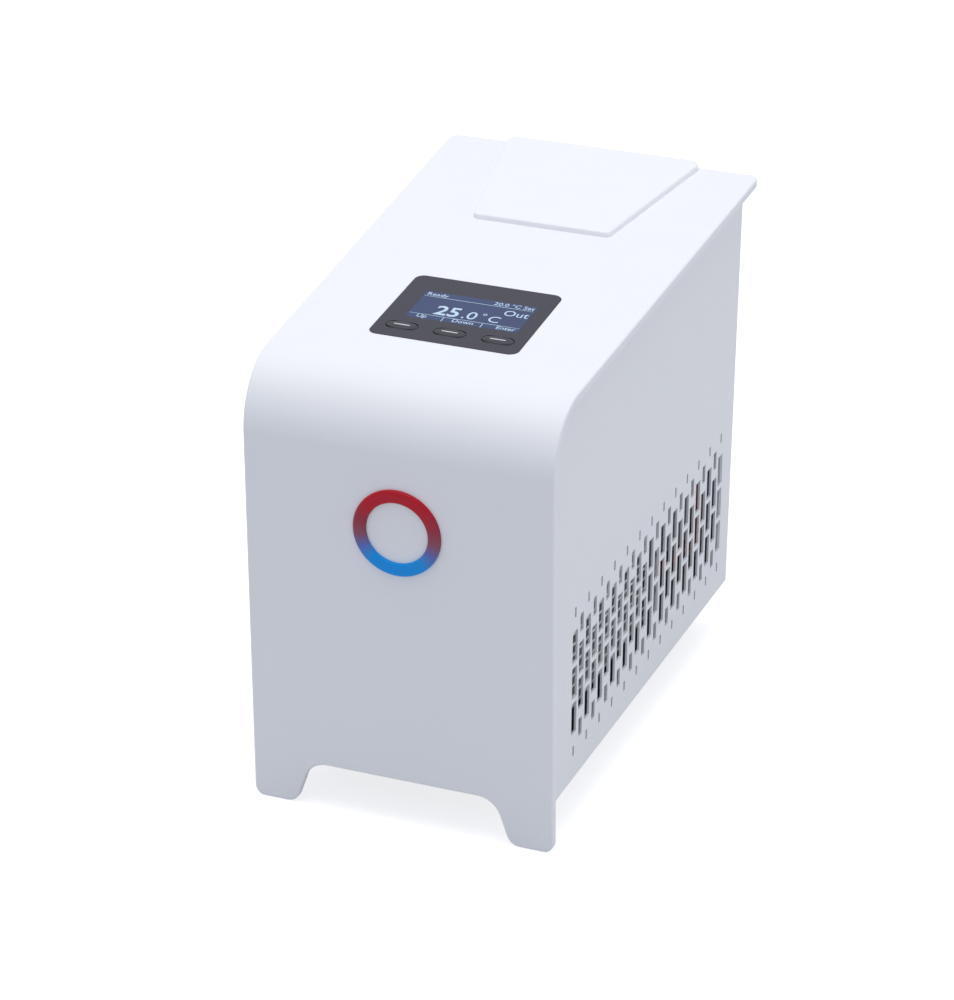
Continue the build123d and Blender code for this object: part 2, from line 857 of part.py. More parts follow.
def reservoir_top():
    """Top of the tank: plate, filling neck, and a spill wall up to the cover's opening."""
    plate = Pos(0, 0, tank_top) * extrude(tank_outline(), tank_wall)
    rim_outer = tank_outline(tank_wall + sheet_gap)
    rim_inner = tank_outline(2 * tank_wall)
    plate += Pos(0, 0, tank_top - tank_wall) * extrude(rim_outer - rim_inner, tank_wall)
    collar_height = tank_wall + neck_rise
    plate += rod((0, tank_middle, tank_top), (0, 0, 1), neck_radius + neck_wall, collar_height)
    plate -= rod((0, tank_middle, tank_top - 1), (0, 0, 1), neck_radius, collar_height + 2)
    plate -= rod((stem_x, tank_middle, tank_top - 1), (0, 0, 1), stem_radius + glue_gap, 2 * tank_wall)
    wall = opening_outline(spill_wall + 1) - opening_outline(1)
    wall = extrude(top_plane(0, cover_wall + sheet_gap) * wall, -tank_height / 2)
    wall &= block(-rear_width, rear_width, 0, cover_depth, tank_top + tank_wall / 2, 2 * front_height)
    return plate + wall


def filler_strainer():
    """Slotted cup that hangs in the filling neck by its flange."""
    seat = tank_top + tank_wall + neck_rise
    outer = neck_radius - strainer_fit
    profile = [
        (0, -strainer_depth),
        (outer, -strainer_depth),
        (outer, 0),
        (neck_radius + neck_wall, 0),
        (neck_radius + neck_wall, strainer_wall),
        (outer - strainer_wall, strainer_wall),
        (outer - strainer_wall, strainer_wall - strainer_depth),
        (0, strainer_wall - strainer_depth),
    ]
    cup = turned(profile, (0, 0, 0), (0, 0, 1))
    width, height = strainer_slot
    slot = Pos(outer, 0, -strainer_depth / 2) * Box(4 * strainer_wall, width, height)
    for n in range(strainer_slots):
        cup -= Rot(0, 0, n * 360 / strainer_slots) * slot
    return Pos(0, tank_middle, seat) * cup


def level_stem():
    """Stem of the level switch: a head on the tank's top, a rod and a collar under the float."""
    foot = shelf_top + 2 * tank_wall - (tank_top + tank_wall)
    head = stem_radius + 1.5
    profile = [
        (0, foot),
        (head, foot),
        (head, foot + stem_collar),
        (stem_radius, foot + stem_collar),
        (stem_radius, 0),
        (head, 0),
        (head, 3),
        (0, 3),
    ]
    return turned(profile, (stem_x, tank_middle, tank_top + tank_wall), (0, 0, 1))


def level_float():
    """Float that rides on the stem, resting on its collar while the tank is empty."""
    bore = stem_radius + float_gap
    low = shelf_top + 2 * tank_wall + stem_collar + glue_gap
    edge = 2.0
    profile = [
        (bore, 0),
        (float_radius - edge, 0),
        (float_radius, edge),
        (float_radius, float_height - edge),
        (float_radius - edge, float_height),
        (bore, float_height),
    ]
    return turned(profile, (stem_x, tank_middle, low), (0, 0, 1))


def water_block():
    """Block that the fluid runs through, with a riser and a hose spigot at each end."""
    rear = block_front + block_length
    block_top = block_bottom + block_height
    body = block(-block_half, block_half, block_front, rear, block_bottom, block_top)
    riser_top = duct_height + riser_side / 2
    for y, side in riser_places():
        low, high = y - riser_side / 2, y + riser_side / 2
        body += block(-riser_side / 2, riser_side / 2, low, high, block_top, riser_top)
        reach = block_half + spigot_length
        body += rod((0, y, duct_height), (side, 0, 0), spigot_radius, reach)
        body -= rod((0, y, duct_height), (side, 0, 0), spigot_bore, reach)
        depth = riser_top - block_middle
        body -= rod((0, y, block_middle), (0, 0, 1), spigot_bore, depth - block_half / 2)
    low, high = (y for y, side in riser_places())
    body -= rod((0, low, block_middle), (0, 1, 0), spigot_bore, high - low)
    return body


def riser_places():
    """Places of the two risers along Y, each with the side its spigot points to."""
    rear = block_front + block_length
    return [(block_front + riser_inset, -1), (rear - riser_inset, 1)]


def thermoelectric_modules():
    """Four flat modules, two on each face of the block."""
    spare = block_length / 2 - module_side
    low = block_middle - module_side / 2
    modules = []
    for side in (-1, 1):
        for half in (0, 1):
            front = block_front + half * block_length / 2 + spare / 2
            inner = side * block_half
            outer = side * (block_half + module_thickness)
            rear = front + module_side
            modules.append(block(inner, outer, front, rear, low, low + module_side))
    return group(modules)


def fin_heights():
    """Undersides of the fins, from the lowest to the highest."""
    low = block_middle - sink_height / 2
    pitch = (sink_height - fin_thickness) / (sink_fins - 1)
    return [low + n * pitch for n in range(sink_fins)]


def clamp_places():
    """Clamp bolts as (y, z), each in the middle of an outer gap between fins."""
    fins = fin_heights()
    gap = (fins[1] - fins[0] + fin_thickness) / 2
    rows = fins[0] + gap, fins[-1] + fin_thickness - gap
    columns = sink_front + clamp_inset, sink_rear - clamp_inset
    return [(y, z) for y in columns for z in rows]


def heat_sink(side):
    """Extruded comb: a base against the modules and fins that run from front to rear."""
    inner = block_half + module_thickness
    outer = inner + sink_base
    fins = fin_heights()
    comb = Pos((inner + outer) / 2, block_middle) * Rectangle(sink_base, sink_height)
    middle = (inner + fin_tip) / 2
    length = fin_tip - inner
    comb += [Pos(middle, z + fin_thickness / 2) * Rectangle(length, fin_thickness) for z in fins]
    sink = extrude(Plane.XZ * comb, sink_front - sink_rear)
    sink = Pos(0, sink_front, 0) * sink
    for y, z in clamp_places():
        sink -= rod((inner - 1, y, z), (1, 0, 0), clamp_radius + running_gap, sink_base + 2)
    return sink if side > 0 else mirror(sink, about=Plane.YZ)


def clamp_bolts():
    """Bolts that draw the two heat sinks together on the block."""
    face = block_half + module_thickness + sink_base
    length = 2 * face - 1
    profile = [
        (0, length),
        (clamp_radius, length),
        (clamp_radius, 0),
        (clamp_head_radius, 0),
        (clamp_head_radius, -clamp_head_height),
        (0, -clamp_head_height),
    ]
    return group([turned(profile, (face, y, z), (-1, 0, 0)) for y, z in clamp_places()])


def block_stands():
    """Two channels, open below, that carry the heat sinks above the base."""
    top = block_middle - sink_height / 2
    half = fin_tip - stand_inset
    inner = half - base_sheet
    stands = []
    for front in (sink_front + stand_inset, sink_rear - stand_inset - stand_width):
        rear = front + stand_width
        stand = block(-half, half, front, rear, base_top, top)
        stand -= block(-inner, inner, front - 1, rear + 1, base_top - 1, top - base_sheet)
        stands.append(stand)
    return group(stands)


def fan_hole_places():
    """Centres of the fan's corner holes as (x, z)."""
    reach = fan_side / 2 - fan_hole_inset
    return [(x, fan_height + z) for x in (-reach, reach) for z in (-reach, reach)]


def fan_frame():
    """Fan housing: two square flanges, a barrel, and a motor seat on four struts."""
    rear = fan_front + fan_depth
    square = RectangleRounded(fan_side, fan_side, fan_corner)
    bore = Circle(fan_bore)
    ring = Circle(fan_bore + fan_barrel) - bore
    upright = Plane(origin=(0, fan_front, fan_height), x_dir=(1, 0, 0), z_dir=(0, 1, 0))
    frame = extrude(upright * (square - bore), fan_flange)
    frame += extrude(upright.offset(fan_depth - fan_flange) * (square - bore), fan_flange)
    frame += extrude(upright * ring, fan_depth)
    for x, z in fan_hole_places():
        frame += rod((x, fan_front, z), (0, 1, 0), fan_post_radius, fan_depth)
    strut = Rectangle(2 * fan_bore + fan_barrel, fan_strut)
    seat = Circle(fan_hub) + Rot(0, 0, 45) * strut + Rot(0, 0, -45) * strut
    frame += extrude(upright * seat, fan_strut)
    for x, z in fan_hole_places():
        frame -= rod((x, fan_front, z), (0, 1, 0), fan_hole_radius, fan_depth)
    shaft_start = (0, fan_front, fan_height)
    return frame + rod(shaft_start, (0, 1, 0), shaft_radius, rear - fan_front - 2 * fan_strut)


def fan_blade():
    """One twisted blade along X, wide at the tip, before it is trimmed to the rotor's radius."""
    sections = []
    for reach, chord, angle in (
        (fan_hub - blade_thickness, blade_root_chord, blade_pitch_angle),
        (fan_bore + blade_thickness, blade_tip_chord, blade_pitch_angle - blade_twist),
    ):
        face = Rot(0, 0, angle) * Rectangle(chord, blade_thickness)
        sections.append(Plane(origin=(reach, 0, 0), x_dir=(0, 1, 0), z_dir=(1, 0, 0)) * face)
    return loft(sections)


def fan_rotor():
    """Hub with its blades, turning on the frame's shaft."""
    front = fan_front + fan_strut + fan_end_gap
    length = fan_depth - fan_strut - 2 * fan_end_gap
    hub = extrude(Circle(fan_hub), length)
    hub = fillet(hub.edges().group_by(Axis.Z)[-1], 2)
    blades = [Rot(0, 0, n * 360 / fan_blades) * fan_blade() for n in range(fan_blades)]
    swept = extrude(Circle(fan_bore - fan_tip_gap), length)
    turned_blades = [Pos(0, 0, length / 2) * blade & swept for blade in blades]
    rotor = hub + turned_blades
    rotor -= extrude(Circle(shaft_radius + running_gap), length - fan_end_gap)
    return Plane(origin=(0, front, fan_height), x_dir=(1, 0, 0), z_dir=(0, 1, 0)) * rotor


def pump_mounts():
    """Four rubber mounts under the pump's plate."""
    reach = pump_plate_side / 2 - pump_mount_inset
    places = [(x, pump_y + y, base_top) for x in (-reach, reach) for y in (-reach, reach)]
    return group([rod(place, (0, 0, 1), pump_mount_radius, pump_stand) for place in places])


def pump_bracket():
    """Plate that carries the pump on its mounts, with a collar around the motor."""
    plate = RectangleRounded(pump_plate_side, pump_plate_side, pump_mount_radius)
    plate = Pos(0, pump_y, pump_base) * extrude(plate, pump_plate)
    start = (0, pump_y, pump_base + pump_plate)
    collar = pump_motor_radius + glue_gap
    return plate + pipe(start, (0, 0, 1), collar + pump_plate, collar, pump_plate)


def pump_motor():
    """Motor of the pump, with its shaft up through the head's floor."""
    start = pump_base + pump_plate
    motor = rod((0, pump_y, start), (0, 0, 1), pump_motor_radius, pump_motor_height)
    motor = chamfer(motor.edges().group_by(Axis.Z)[0], 1)
    shaft = pump_wall + impeller_gap + impeller_height - impeller_gap
    return motor + rod((0, pump_y, head_bottom), (0, 0, 1), shaft_radius, shaft)


def pump_housing():
    """Round pump head with an inlet spigot on top and an outlet spigot on its side."""
    middle = (head_bottom + head_top) / 2
    outlet_y = pump_y - pump_outlet_offset
    centre = (0, pump_y, head_bottom)
    housing = rod(centre, (0, 0, 1), pump_head_radius, pump_head_height)
    housing = fillet(housing.edges().group_by(Axis.Z)[-1], pump_wall)
    reach = pump_head_radius + spigot_length
    housing += rod((0, outlet_y, middle), (-1, 0, 0), spigot_radius, reach)
    inlet = (0, pump_y, head_top - pump_wall / 2)
    housing += rod(inlet, (0, 0, 1), spigot_radius, spigot_length + pump_wall / 2)
    floor = (0, pump_y, head_bottom + pump_wall)
    hollow = pump_head_height - 2 * pump_wall
    housing -= rod(floor, (0, 0, 1), pump_head_radius - pump_wall, hollow)
    housing -= rod((0, outlet_y, middle), (-1, 0, 0), spigot_bore, reach)
    housing -= rod(floor, (0, 0, 1), spigot_bore, pump_head_height + spigot_length)
    return housing - rod(centre, (0, 0, 1), shaft_radius + running_gap, pump_wall)


def pump_impeller():
    """Disc with bent-back vanes, turning on the motor's shaft."""
    low = head_bottom + pump_wall + impeller_gap
    boss = 2 * shaft_radius
    wheel = extrude(Circle(impeller_radius), impeller_disc) + extrude(Circle(boss), impeller_height)
    length = impeller_radius - boss
    vane = Pos(boss + length / 2, 0, impeller_height / 2)
    vane = vane * Rot(0, 0, impeller_sweep) * Box(length, impeller_disc, impeller_height)
    wheel += [Rot(0, 0, n * 360 / impeller_blades) * vane for n in range(impeller_blades)]
    wheel &= extrude(Circle(impeller_radius), impeller_height)
    wheel -= extrude(Circle(shaft_radius + running_gap), impeller_height)
    return Pos(0, pump_y, low) * wheel


def tube(points, bends, radius, bore=0.0):
    """Hose or lead along straight runs joined by arcs."""
    if len(points) > 2:
        path = FilletPolyline(*points, radius=bends)
    else:
        path = Polyline(*points)
    section = Circle(radius) - Circle(bore) if bore else Circle(radius)
    return sweep(Plane(origin=path @ 0, z_dir=path % 0) * section, path=path)


def hose_routes():
    """Each hose as its points and bends, from end to end; both ends sit on a spigot."""
    outlet_y = pump_y - pump_outlet_offset
    middle = (head_bottom + head_top) / 2
    block_end = block_half + spigot_length - hose_seat
    pump_end = pump_head_radius + spigot_length - hose_seat
    tank_end = tank_spigot_tip + hose_seat
    nozzle_end = spigot_tip_y + hose_seat
    (block_in, left), (block_out, right) = riser_places()
    lane_end = fan_front + fan_depth + outlet_bend / 2
    outlet_rear = spigot_tip_y - 2 * hose_seat
    return {
        "suction_hose": (
            [(0, pump_y, head_top + spigot_length - hose_seat), (0, pump_y, tank_end)],
            [],
        ),
        "pressure_hose": (
            [
                (-pump_end, outlet_y, middle),
                (-pressure_lane, outlet_y, middle),
                (-pressure_lane, outlet_y, duct_height),
                (-pressure_lane, block_in, duct_height),
                (left * block_end, block_in, duct_height),
            ],
            [hose_bend] * 3,
        ),
        "outlet_hose": (
            [
                (right * block_end, block_out, duct_height),
                (pressure_lane, block_out, duct_height),
                (pressure_lane, lane_end, duct_height),
                (port_spread, outlet_rear, port_height),
                (port_spread, nozzle_end, port_height),
            ],
            [hose_bend, outlet_bend, outlet_bend],
        ),
        "return_hose": (
            [
                (-port_spread, nozzle_end, port_height),
                (-port_spread, pump_y, port_height),
                (-port_spread, pump_y, tank_end),
            ],
            [return_bend],
        ),
        "drain_hose": (
            [
                (drain_x, drain_y, tank_end),
                (drain_x, drain_y, drain_height),
                (drain_x, nozzle_end, drain_height),
            ],
            [hose_bend],
        ),
    }


def hose(name):
    """One of the hoses."""
    points, bends = hose_routes()[name]
    return tube(points, bends, hose_radius, hose_bore)


def hose_clamps():
    """A band around each end of each hose, where its spigot is."""
    bands = []
    inset = (hose_seat - clamp_width) / 2
    for points, bends in hose_routes().values():
        for end, after in ((points[0], points[1]), (points[-1], points[-2])):
            inward = (Vector(*after) - Vector(*end)).normalized()
            start = Vector(*end) + inward * inset
            bore = hose_radius + glue_gap
            bands.append(pipe(start, inward, bore + clamp_wall, bore, clamp_width))
    return group(bands)


def nozzle_places():
    """Hose nozzles on the rear panel as (x, z): outlet, return and drain."""
    return [(port_spread, port_height), (-port_spread, port_height), (drain_x, drain_height)]


def nozzle(number):
    """Turned nozzle: inner spigot, threaded body, flange, plain land and barbs."""
    x, z = nozzle_places()[number]
    shoulder = spigot_length
    face = back_face - spigot_tip_y
    land = face + nozzle_flange
    first_barb = land + nozzle_land
    tip = nozzle_tip - spigot_tip_y
    pitch = (tip - first_barb) / barbs
    groove = nozzle_radius - barb_depth
    profile = [
        (spigot_bore, 0),
        (spigot_radius, 0),
        (spigot_radius, shoulder),
        (nozzle_thread_radius, shoulder),
        (nozzle_thread_radius, face),
        (nozzle_flange_radius, face),
        (nozzle_flange_radius, land),
        (nozzle_radius, land),
        (nozzle_radius, first_barb),
    ]
    for n in range(barbs):
        end = first_barb + (n + 1) * pitch
        profile += [(groove, end)] if n == barbs - 1 else [(groove, end), (nozzle_radius, end)]
    profile.append((spigot_bore, tip))
    return turned(profile, (x, spigot_tip_y, z), (0, 1, 0))


def nozzle_nuts():
    """Nut behind the rear panel on each nozzle."""
    nuts = []
    for x, z in nozzle_places():
        seat = Plane(origin=(x, back_front, z), x_dir=(1, 0, 0), z_dir=(0, -1, 0))
        hexagon = RegularPolygon(nut_flats / 2, 6, major_radius=False)
        hexagon -= Circle(nozzle_thread_radius + glue_gap)
        nuts.append(extrude(seat * hexagon, nut_height))
    return group(nuts)


def drain_cap():
    """Cap over the drain nozzle, with a grip groove around its end."""
    bore = nozzle_radius + cap_gap
    length = cap_tip - back_face - nozzle_flange
    grip = length - 2 * cap_wall
    profile = [
        (bore, 0),
        (cap_radius, 0),
        (cap_radius, grip - cap_wall),
        (cap_radius - cap_wall / 2, grip - cap_wall / 2),
        (cap_radius, grip),
        (cap_radius, length - cap_wall / 2),
        (cap_radius - cap_wall / 2, length),
        (0, length),
        (0, length - cap_wall),
        (bore, length - cap_wall),
    ]
    return turned(profile, (drain_x, back_face + nozzle_flange, drain_height), (0, 1, 0))


def panel_fitting(x, z, width, tall, depth):
    """Body let through the rear panel from outside, with a flange on its face."""
    face = Plane(origin=(x, back_face, z), x_dir=(1, 0, 0), z_dir=(0, 1, 0))
    flange = RectangleRounded(width + 2 * inlet_flange, tall + 2 * inlet_flange, inlet_flange)
    body = extrude(face * flange, inlet_flange)
    return body + extrude(face * Rectangle(width, tall), -depth)


def mains_inlet():
    """Recessed appliance inlet with three flat pins."""
    inlet = panel_fitting(inlet_x, inlet_height, inlet_width, inlet_tall, inlet_depth)
    face = (inlet_x, back_face + inlet_flange, inlet_height)
    mouth = Plane(origin=face, x_dir=(1, 0, 0), z_dir=(0, 1, 0))
    recess = Rectangle(inlet_width - 2 * inlet_wall, inlet_tall - 2 * inlet_wall)
    recess = chamfer(recess.vertices().group_by(Axis.Y)[0], inlet_key)
    depth = inlet_depth + inlet_flange - 2 * inlet_wall
    inlet -= extrude(mouth * recess, -depth)
    for x, drop in ((-pin_spread, pin_rise), (pin_spread, pin_rise), (0, -pin_rise)):
        start = mouth.offset(-depth - 1) * Pos(x, drop)
        inlet += extrude(start * Rectangle(*pin_section), depth - pin_set_back)
    return inlet


def mains_switch_frame():
    """Frame of the mains switch, hollow for its rocker."""
    frame = panel_fitting(inlet_x, switch_height, switch_width, switch_tall, switch_depth)
    room = rocker_tall / 2 + rocker_gap
    half = rocker_width / 2 + rocker_gap
    outer = back_face + inlet_flange + 1
    axis_start = (inlet_x - half, rocker_axis_y, switch_height)
    frame -= rod(axis_start, (1, 0, 0), room, 2 * half)
    low, high = switch_height - room, switch_height + room
    frame -= block(inlet_x - half, inlet_x + half, rocker_axis_y, outer, low, high)
    for side in (-1, 1):
        start = (inlet_x + side * (half - 1), rocker_axis_y, switch_height)
        frame -= rod(start, (side, 0, 0), shaft_radius / 2 + running_gap, 2)
    return frame


def mains_rocker():
    """Rocker of the mains switch, tilted to its off position."""
    radius = rocker_tall / 2
    half = rocker_width / 2
    rise = radius * tan(radians(rocker_angle))
    ridge = 0.3 * radius
    front = Polyline(
        (-radius, ridge + rise),
        (0, ridge),
        (radius, ridge + rise),
        (radius, 2 * radius),
        (-radius, 2 * radius),
        close=True,
    )
    section = Circle(radius) - make_face(front)
    rocker = extrude(section, half, both=True)
    pin = extrude(Circle(shaft_radius / 2), half + 2 * rocker_gap, both=True)
    upright = Plane(origin=(inlet_x, rocker_axis_y, switch_height), x_dir=(0, 0, 1), z_dir=(1, 0, 0))
    rest = upright * Rot(0, 0, -rocker_angle)
    return rest * Rot(0, 0, 180) * (rocker + pin)


def interface_socket():
    """Nine-way interface socket: flange, D-shaped shell and insulator."""
    face = Plane(origin=(socket_x, back_face, socket_height), x_dir=(1, 0, 0), z_dir=(0, 1, 0))
    flange = RectangleRounded(socket_width + 2 * socket_ear, socket_tall + 2, 1)
    socket = extrude(face * flange, 1)
    socket += extrude(face * Rectangle(socket_width, socket_tall), -socket_depth)
    half, rise = socket_width / 2 - 1, socket_tall / 2 - 0.5
    shell = Polyline((-half, rise), (half, rise), (half - 2, -rise), (-half + 2, -rise), close=True)
    outer = make_face(shell)
    outer = fillet(outer.vertices(), 1.5)
    inner = offset(outer, -0.6)
    socket += extrude(face * outer, socket_reach)
    return socket - extrude(face.offset(socket_reach) * inner, 1 - socket_reach)


def power_supply():
    """Supply unit: closed case, with its terminal strip on a step at the rear end."""
    half = supply_width / 2
    front, rear = supply_front, supply_front + supply_length
    top = shelf_top + supply_height
    case = block(supply_x - half, supply_x + half, front, rear, shelf_top, top)
    case = chamfer(case.edges().filter_by(Axis.Y), supply_sheet)
    step = rear - supply_step
    left = supply_x - half - 1
    right = supply_x + half + 1
    case -= block(left, right, step, rear + 1, shelf_top + supply_sheet, top + 1)
    strip_half = half - 4 * supply_sheet
    strip_top = shelf_top + supply_height / 2
    strip = block(supply_x - strip_half, supply_x + strip_half, step, rear - 2, shelf_top, strip_top)
    return case + strip


def control_board():
    """Control board with its terminal blocks, capacitors and power stage."""
    low = shelf_top + pillar_height
    half = control_width / 2
    rear = control_front + control_length
    board = block(control_x - half, control_x + half, control_front, rear, low, low + board_thickness)
    top = low + board_thickness
    for x in (loom_lane, control_x - half / 2):
        wide = terminal_width / 2
        board += block(x - wide, x + wide, rear - terminal_length, rear, top, top + terminal_height)
    for n in (0, 1):
        place = (control_x, control_front + capacitor_step * (n + 1), top)
        board += rod(place, (0, 0, 1), capacitor_radius, capacitor_height)
    stage_front = control_front + control_length / 2
    stage = half - capacitor_radius
    board += block(control_x - stage, control_x + stage, stage_front, stage_front + stage, top, top + stage)
    return board


def pillar_places():
    """Corners of the control board where its pillars stand."""
    inset = 2 * pillar_radius
    half = control_width / 2 - inset
    rows = control_front + inset, control_front + control_length - inset - terminal_length
    return [(control_x + x, y) for x in (-half, half) for y in rows]


def board_pillars():
    """Pillars between the shelf and the control board."""
    up = (0, 0, 1)
    return group([rod((x, y, shelf_top), up, pillar_radius, pillar_height) for x, y in pillar_places()])


def pump_lead():
    """Red lead from the pump's motor, up past the shelf to the control board."""
    low = pump_base + pump_plate + 2 * loom_radius
    high = shelf_top + pillar_height + board_thickness + terminal_height / 2
    rear = control_front + control_length
    reach = loom_y - pump_y
    points = [
        (pump_motor_radius + glue_gap, pump_y, low),
        (loom_lane - reach, pump_y, low),
        (loom_lane, loom_y, low + reach),
        (loom_lane, loom_y, high),
        (loom_lane, rear, high),
    ]
    return tube(points, [loom_bend] * 3, loom_radius)


def rear_feet():
    """Two tapered feet under the rear of the base."""
    length = base_floor - foot_pad_height
    profile = [
        (screw_hole, 0),
        (rear_foot_radius, 0),
        (0.8 * rear_foot_radius, length),
        (0, length),
        (0, length / 2),
        (screw_hole, length / 2),
    ]
    places = [(side * rear_foot_spread, rear_foot_y, base_floor) for side in (-1, 1)]
    return group([turned(profile, place, (0, 0, -1)) for place in places])


def foot_pads():
    """Rubber pads under the rear feet."""
    radius = 0.8 * rear_foot_radius
    places = [(side * rear_foot_spread, rear_foot_y, 0) for side in (-1, 1)]
    return group([rod(place, (0, 0, 1), radius, foot_pad_height) for place in places])


def shelf_nuts():
    """Nuts that hold the shelf on the studs of the side panels."""
    nuts = []
    for side in (-1, 1):
        for y in stud_depths():
            stud_foot = (side * (panel_inner - sheet), y, shelf_top - stud_drop)
            seat = Plane(origin=stud_foot, z_dir=(-side, 0, 0))
            hexagon = RegularPolygon(nut_radius, 6) - Circle(screw_radius + running_gap)
            nuts.append(extrude(seat * hexagon, small_nut_height))
    return group(nuts)


def partition_screw_places():
    """Screws through the partition's foot into the base."""
    y = partition_y - post_leg / 2
    return [(side * front_boss_spread, y) for side in (-1, 1)]


def cabinet_screws():
    """All the small screws of the cabinet, the display board and the fan, which are alike."""
    up = top_plane(0).z_dir
    screws = []
    for x, y in rail_screw_places():
        screws.append(screw(slope_point(x, y, cover_wall + sheet), up, cover_wall - 1))
    for side in (-1, 1):
        seat = (side * front_boss_spread, front_flange_y + base_sheet, front_boss_height)
        screws.append(screw(seat, (0, -1, 0), screw_short - sheet))
        seat = (side * rear_foot_spread, rear_foot_y, base_top)
        screws.append(screw(seat, (0, 0, -1), screw_long))
    screws += [screw((x, back_face, z), (0, -1, 0), screw_short) for x, z in rear_screw_places()]
    screws += [screw((x, y, body_bottom), (0, 0, 1), screw_short) for x, y in base_screw_places()]
    for x, y in partition_screw_places():
        screws.append(screw((x, y, base_top + sheet), (0, 0, -1), screw_short - sheet))
    for x, y in board_screw_places():
        plane = top_plane(display_along, board_drop + board_thickness)
        seat = (plane * Pos(x, y, 0)).position
        screws.append(screw(seat, up, screw_short - sheet))
    for x, z in fan_hole_places():
        screws.append(screw((x, partition_y, z), (0, 1, 0), screw_long))
    return group(screws)


pieces = {
    "front_top_cover": front_top_cover(),
    "side_panel_left": side_panel(-1),
    "side_panel_right": side_panel(1),
    "base_tray": base_tray(),
    "corner_posts": group([corner_post(-1), corner_post(1)]),
    "cover_rails": group([cover_rail(-1), cover_rail(1)]),
    "equipment_shelf": equipment_shelf(),
    "partition_plate": partition_plate(),
    "rear_panel": rear_panel(),
    "indicator_ring": indicator_ring(),
    "display_bezel": display_bezel(),
    "display_glass": display_glass(),
    "key_left": key(0),
    "key_middle": key(1),
    "key_right": key(2),
    "display_board": display_board(),
    "display_module": display_module(),
    "filler_lid": filler_lid(),
    "reservoir_body": reservoir_body(),
    "reservoir_top": reservoir_top(),
    "filler_strainer": filler_strainer(),
    "level_stem": level_stem(),
    "level_float": level_float(),
    "water_block": water_block(),
    "thermoelectric_modules": thermoelectric_modules(),
    "heat_sink_left": heat_sink(-1),
    "heat_sink_right": heat_sink(1),
    "block_stands": block_stands(),
    "clamp_bolts": clamp_bolts(),
    "fan_frame": fan_frame(),
    "fan_rotor": fan_rotor(),
    "pump_mounts": pump_mounts(),
    "pump_bracket": pump_bracket(),
    "pump_motor": pump_motor(),
    "pump_housing": pump_housing(),
    "pump_impeller": pump_impeller(),
    "suction_hose": hose("suction_hose"),
    "pressure_hose": hose("pressure_hose"),
    "outlet_hose": hose("outlet_hose"),
    "return_hose": hose("return_hose"),
    "drain_hose": hose("drain_hose"),
    "hose_clamps": hose_clamps(),
    "outlet_nozzle": nozzle(0),
    "return_nozzle": nozzle(1),
    "drain_nozzle": nozzle(2),
    "nozzle_nuts": nozzle_nuts(),
    "drain_cap": drain_cap(),
    "mains_inlet": mains_inlet(),
    "mains_switch_frame": mains_switch_frame(),
    "mains_rocker": mains_rocker(),
    "interface_socket": interface_socket(),
    "power_supply": power_supply(),
    "control_board": control_board(),
    "board_pillars": board_pillars(),
    "pump_lead": pump_lead(),
    "rear_feet": rear_feet(),
    "foot_pads": foot_pads(),
    "shelf_nuts": shelf_nuts(),
    "cabinet_screws": cabinet_screws(),
}

os.makedirs("parts", exist_ok=True)
for name, piece in pieces.items():
    solids = [Pos(0, -origin_y, 0) * solid for solid in piece.solids()]
    export_step(Compound(solids), f"parts/{name}.step")
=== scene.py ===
import json
import math

import bmesh
import bpy
import numpy as np
from mathutils import Matrix, Vector

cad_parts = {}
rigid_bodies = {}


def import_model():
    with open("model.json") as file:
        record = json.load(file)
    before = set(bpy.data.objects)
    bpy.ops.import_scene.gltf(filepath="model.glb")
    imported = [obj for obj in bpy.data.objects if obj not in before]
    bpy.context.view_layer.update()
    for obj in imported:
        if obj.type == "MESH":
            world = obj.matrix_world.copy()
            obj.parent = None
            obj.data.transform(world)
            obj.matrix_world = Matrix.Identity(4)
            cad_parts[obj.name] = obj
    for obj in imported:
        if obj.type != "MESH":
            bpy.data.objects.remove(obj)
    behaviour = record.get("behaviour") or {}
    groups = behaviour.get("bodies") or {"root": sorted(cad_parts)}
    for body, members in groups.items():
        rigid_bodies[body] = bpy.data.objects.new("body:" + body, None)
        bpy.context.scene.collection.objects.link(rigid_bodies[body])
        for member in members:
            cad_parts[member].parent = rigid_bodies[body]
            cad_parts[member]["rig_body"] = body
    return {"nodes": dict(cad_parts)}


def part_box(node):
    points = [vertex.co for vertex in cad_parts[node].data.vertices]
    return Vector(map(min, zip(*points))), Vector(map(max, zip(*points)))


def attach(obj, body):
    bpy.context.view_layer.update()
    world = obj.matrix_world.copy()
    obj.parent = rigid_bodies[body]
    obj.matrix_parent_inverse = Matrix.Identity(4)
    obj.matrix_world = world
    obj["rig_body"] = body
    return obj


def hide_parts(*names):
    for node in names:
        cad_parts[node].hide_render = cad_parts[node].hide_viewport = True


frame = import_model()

bl_info = {
    "name": "Laboratory circulator",
    "version": (1, 0, 0),
    "blender": (4, 5, 0),
    "location": "View3D > Sidebar > Circulator",
    "description": "Finishes, print and studio for the packed bench circulator",
    "category": "Object",
}

MM = 0.001
CABINET = "cabinet"
KEYS = ("key_left", "key_middle", "key_right")
UP = (0.0, 0.0, 1.0)
FORWARD = (0.0, -1.0, 0.0)
MERGE = 0.002 * MM
SHARP_ANGLE = math.radians(32.0)

WHITE = (1.0, 1.0, 1.0, 1.0)
SENSOR_WIDTH = 36.0
CAMERA_PLACE = (0.64508, -1.681145, 0.95679)
NEAREST_SEEN = 0.05
FLOOR_HALF = 6.0
OVERHEAD_SIZE = 1.4
OVERHEAD_PLACE = (-0.1, -0.15, 1.8)
OVERHEAD_AIM = (0.0, 0.0, 0.15)
FILL_SIZE = 0.8
FILL_PLACE = (1.9, 0.1, 0.8)
FILL_AIM = (0.0, 0.0, 0.12)

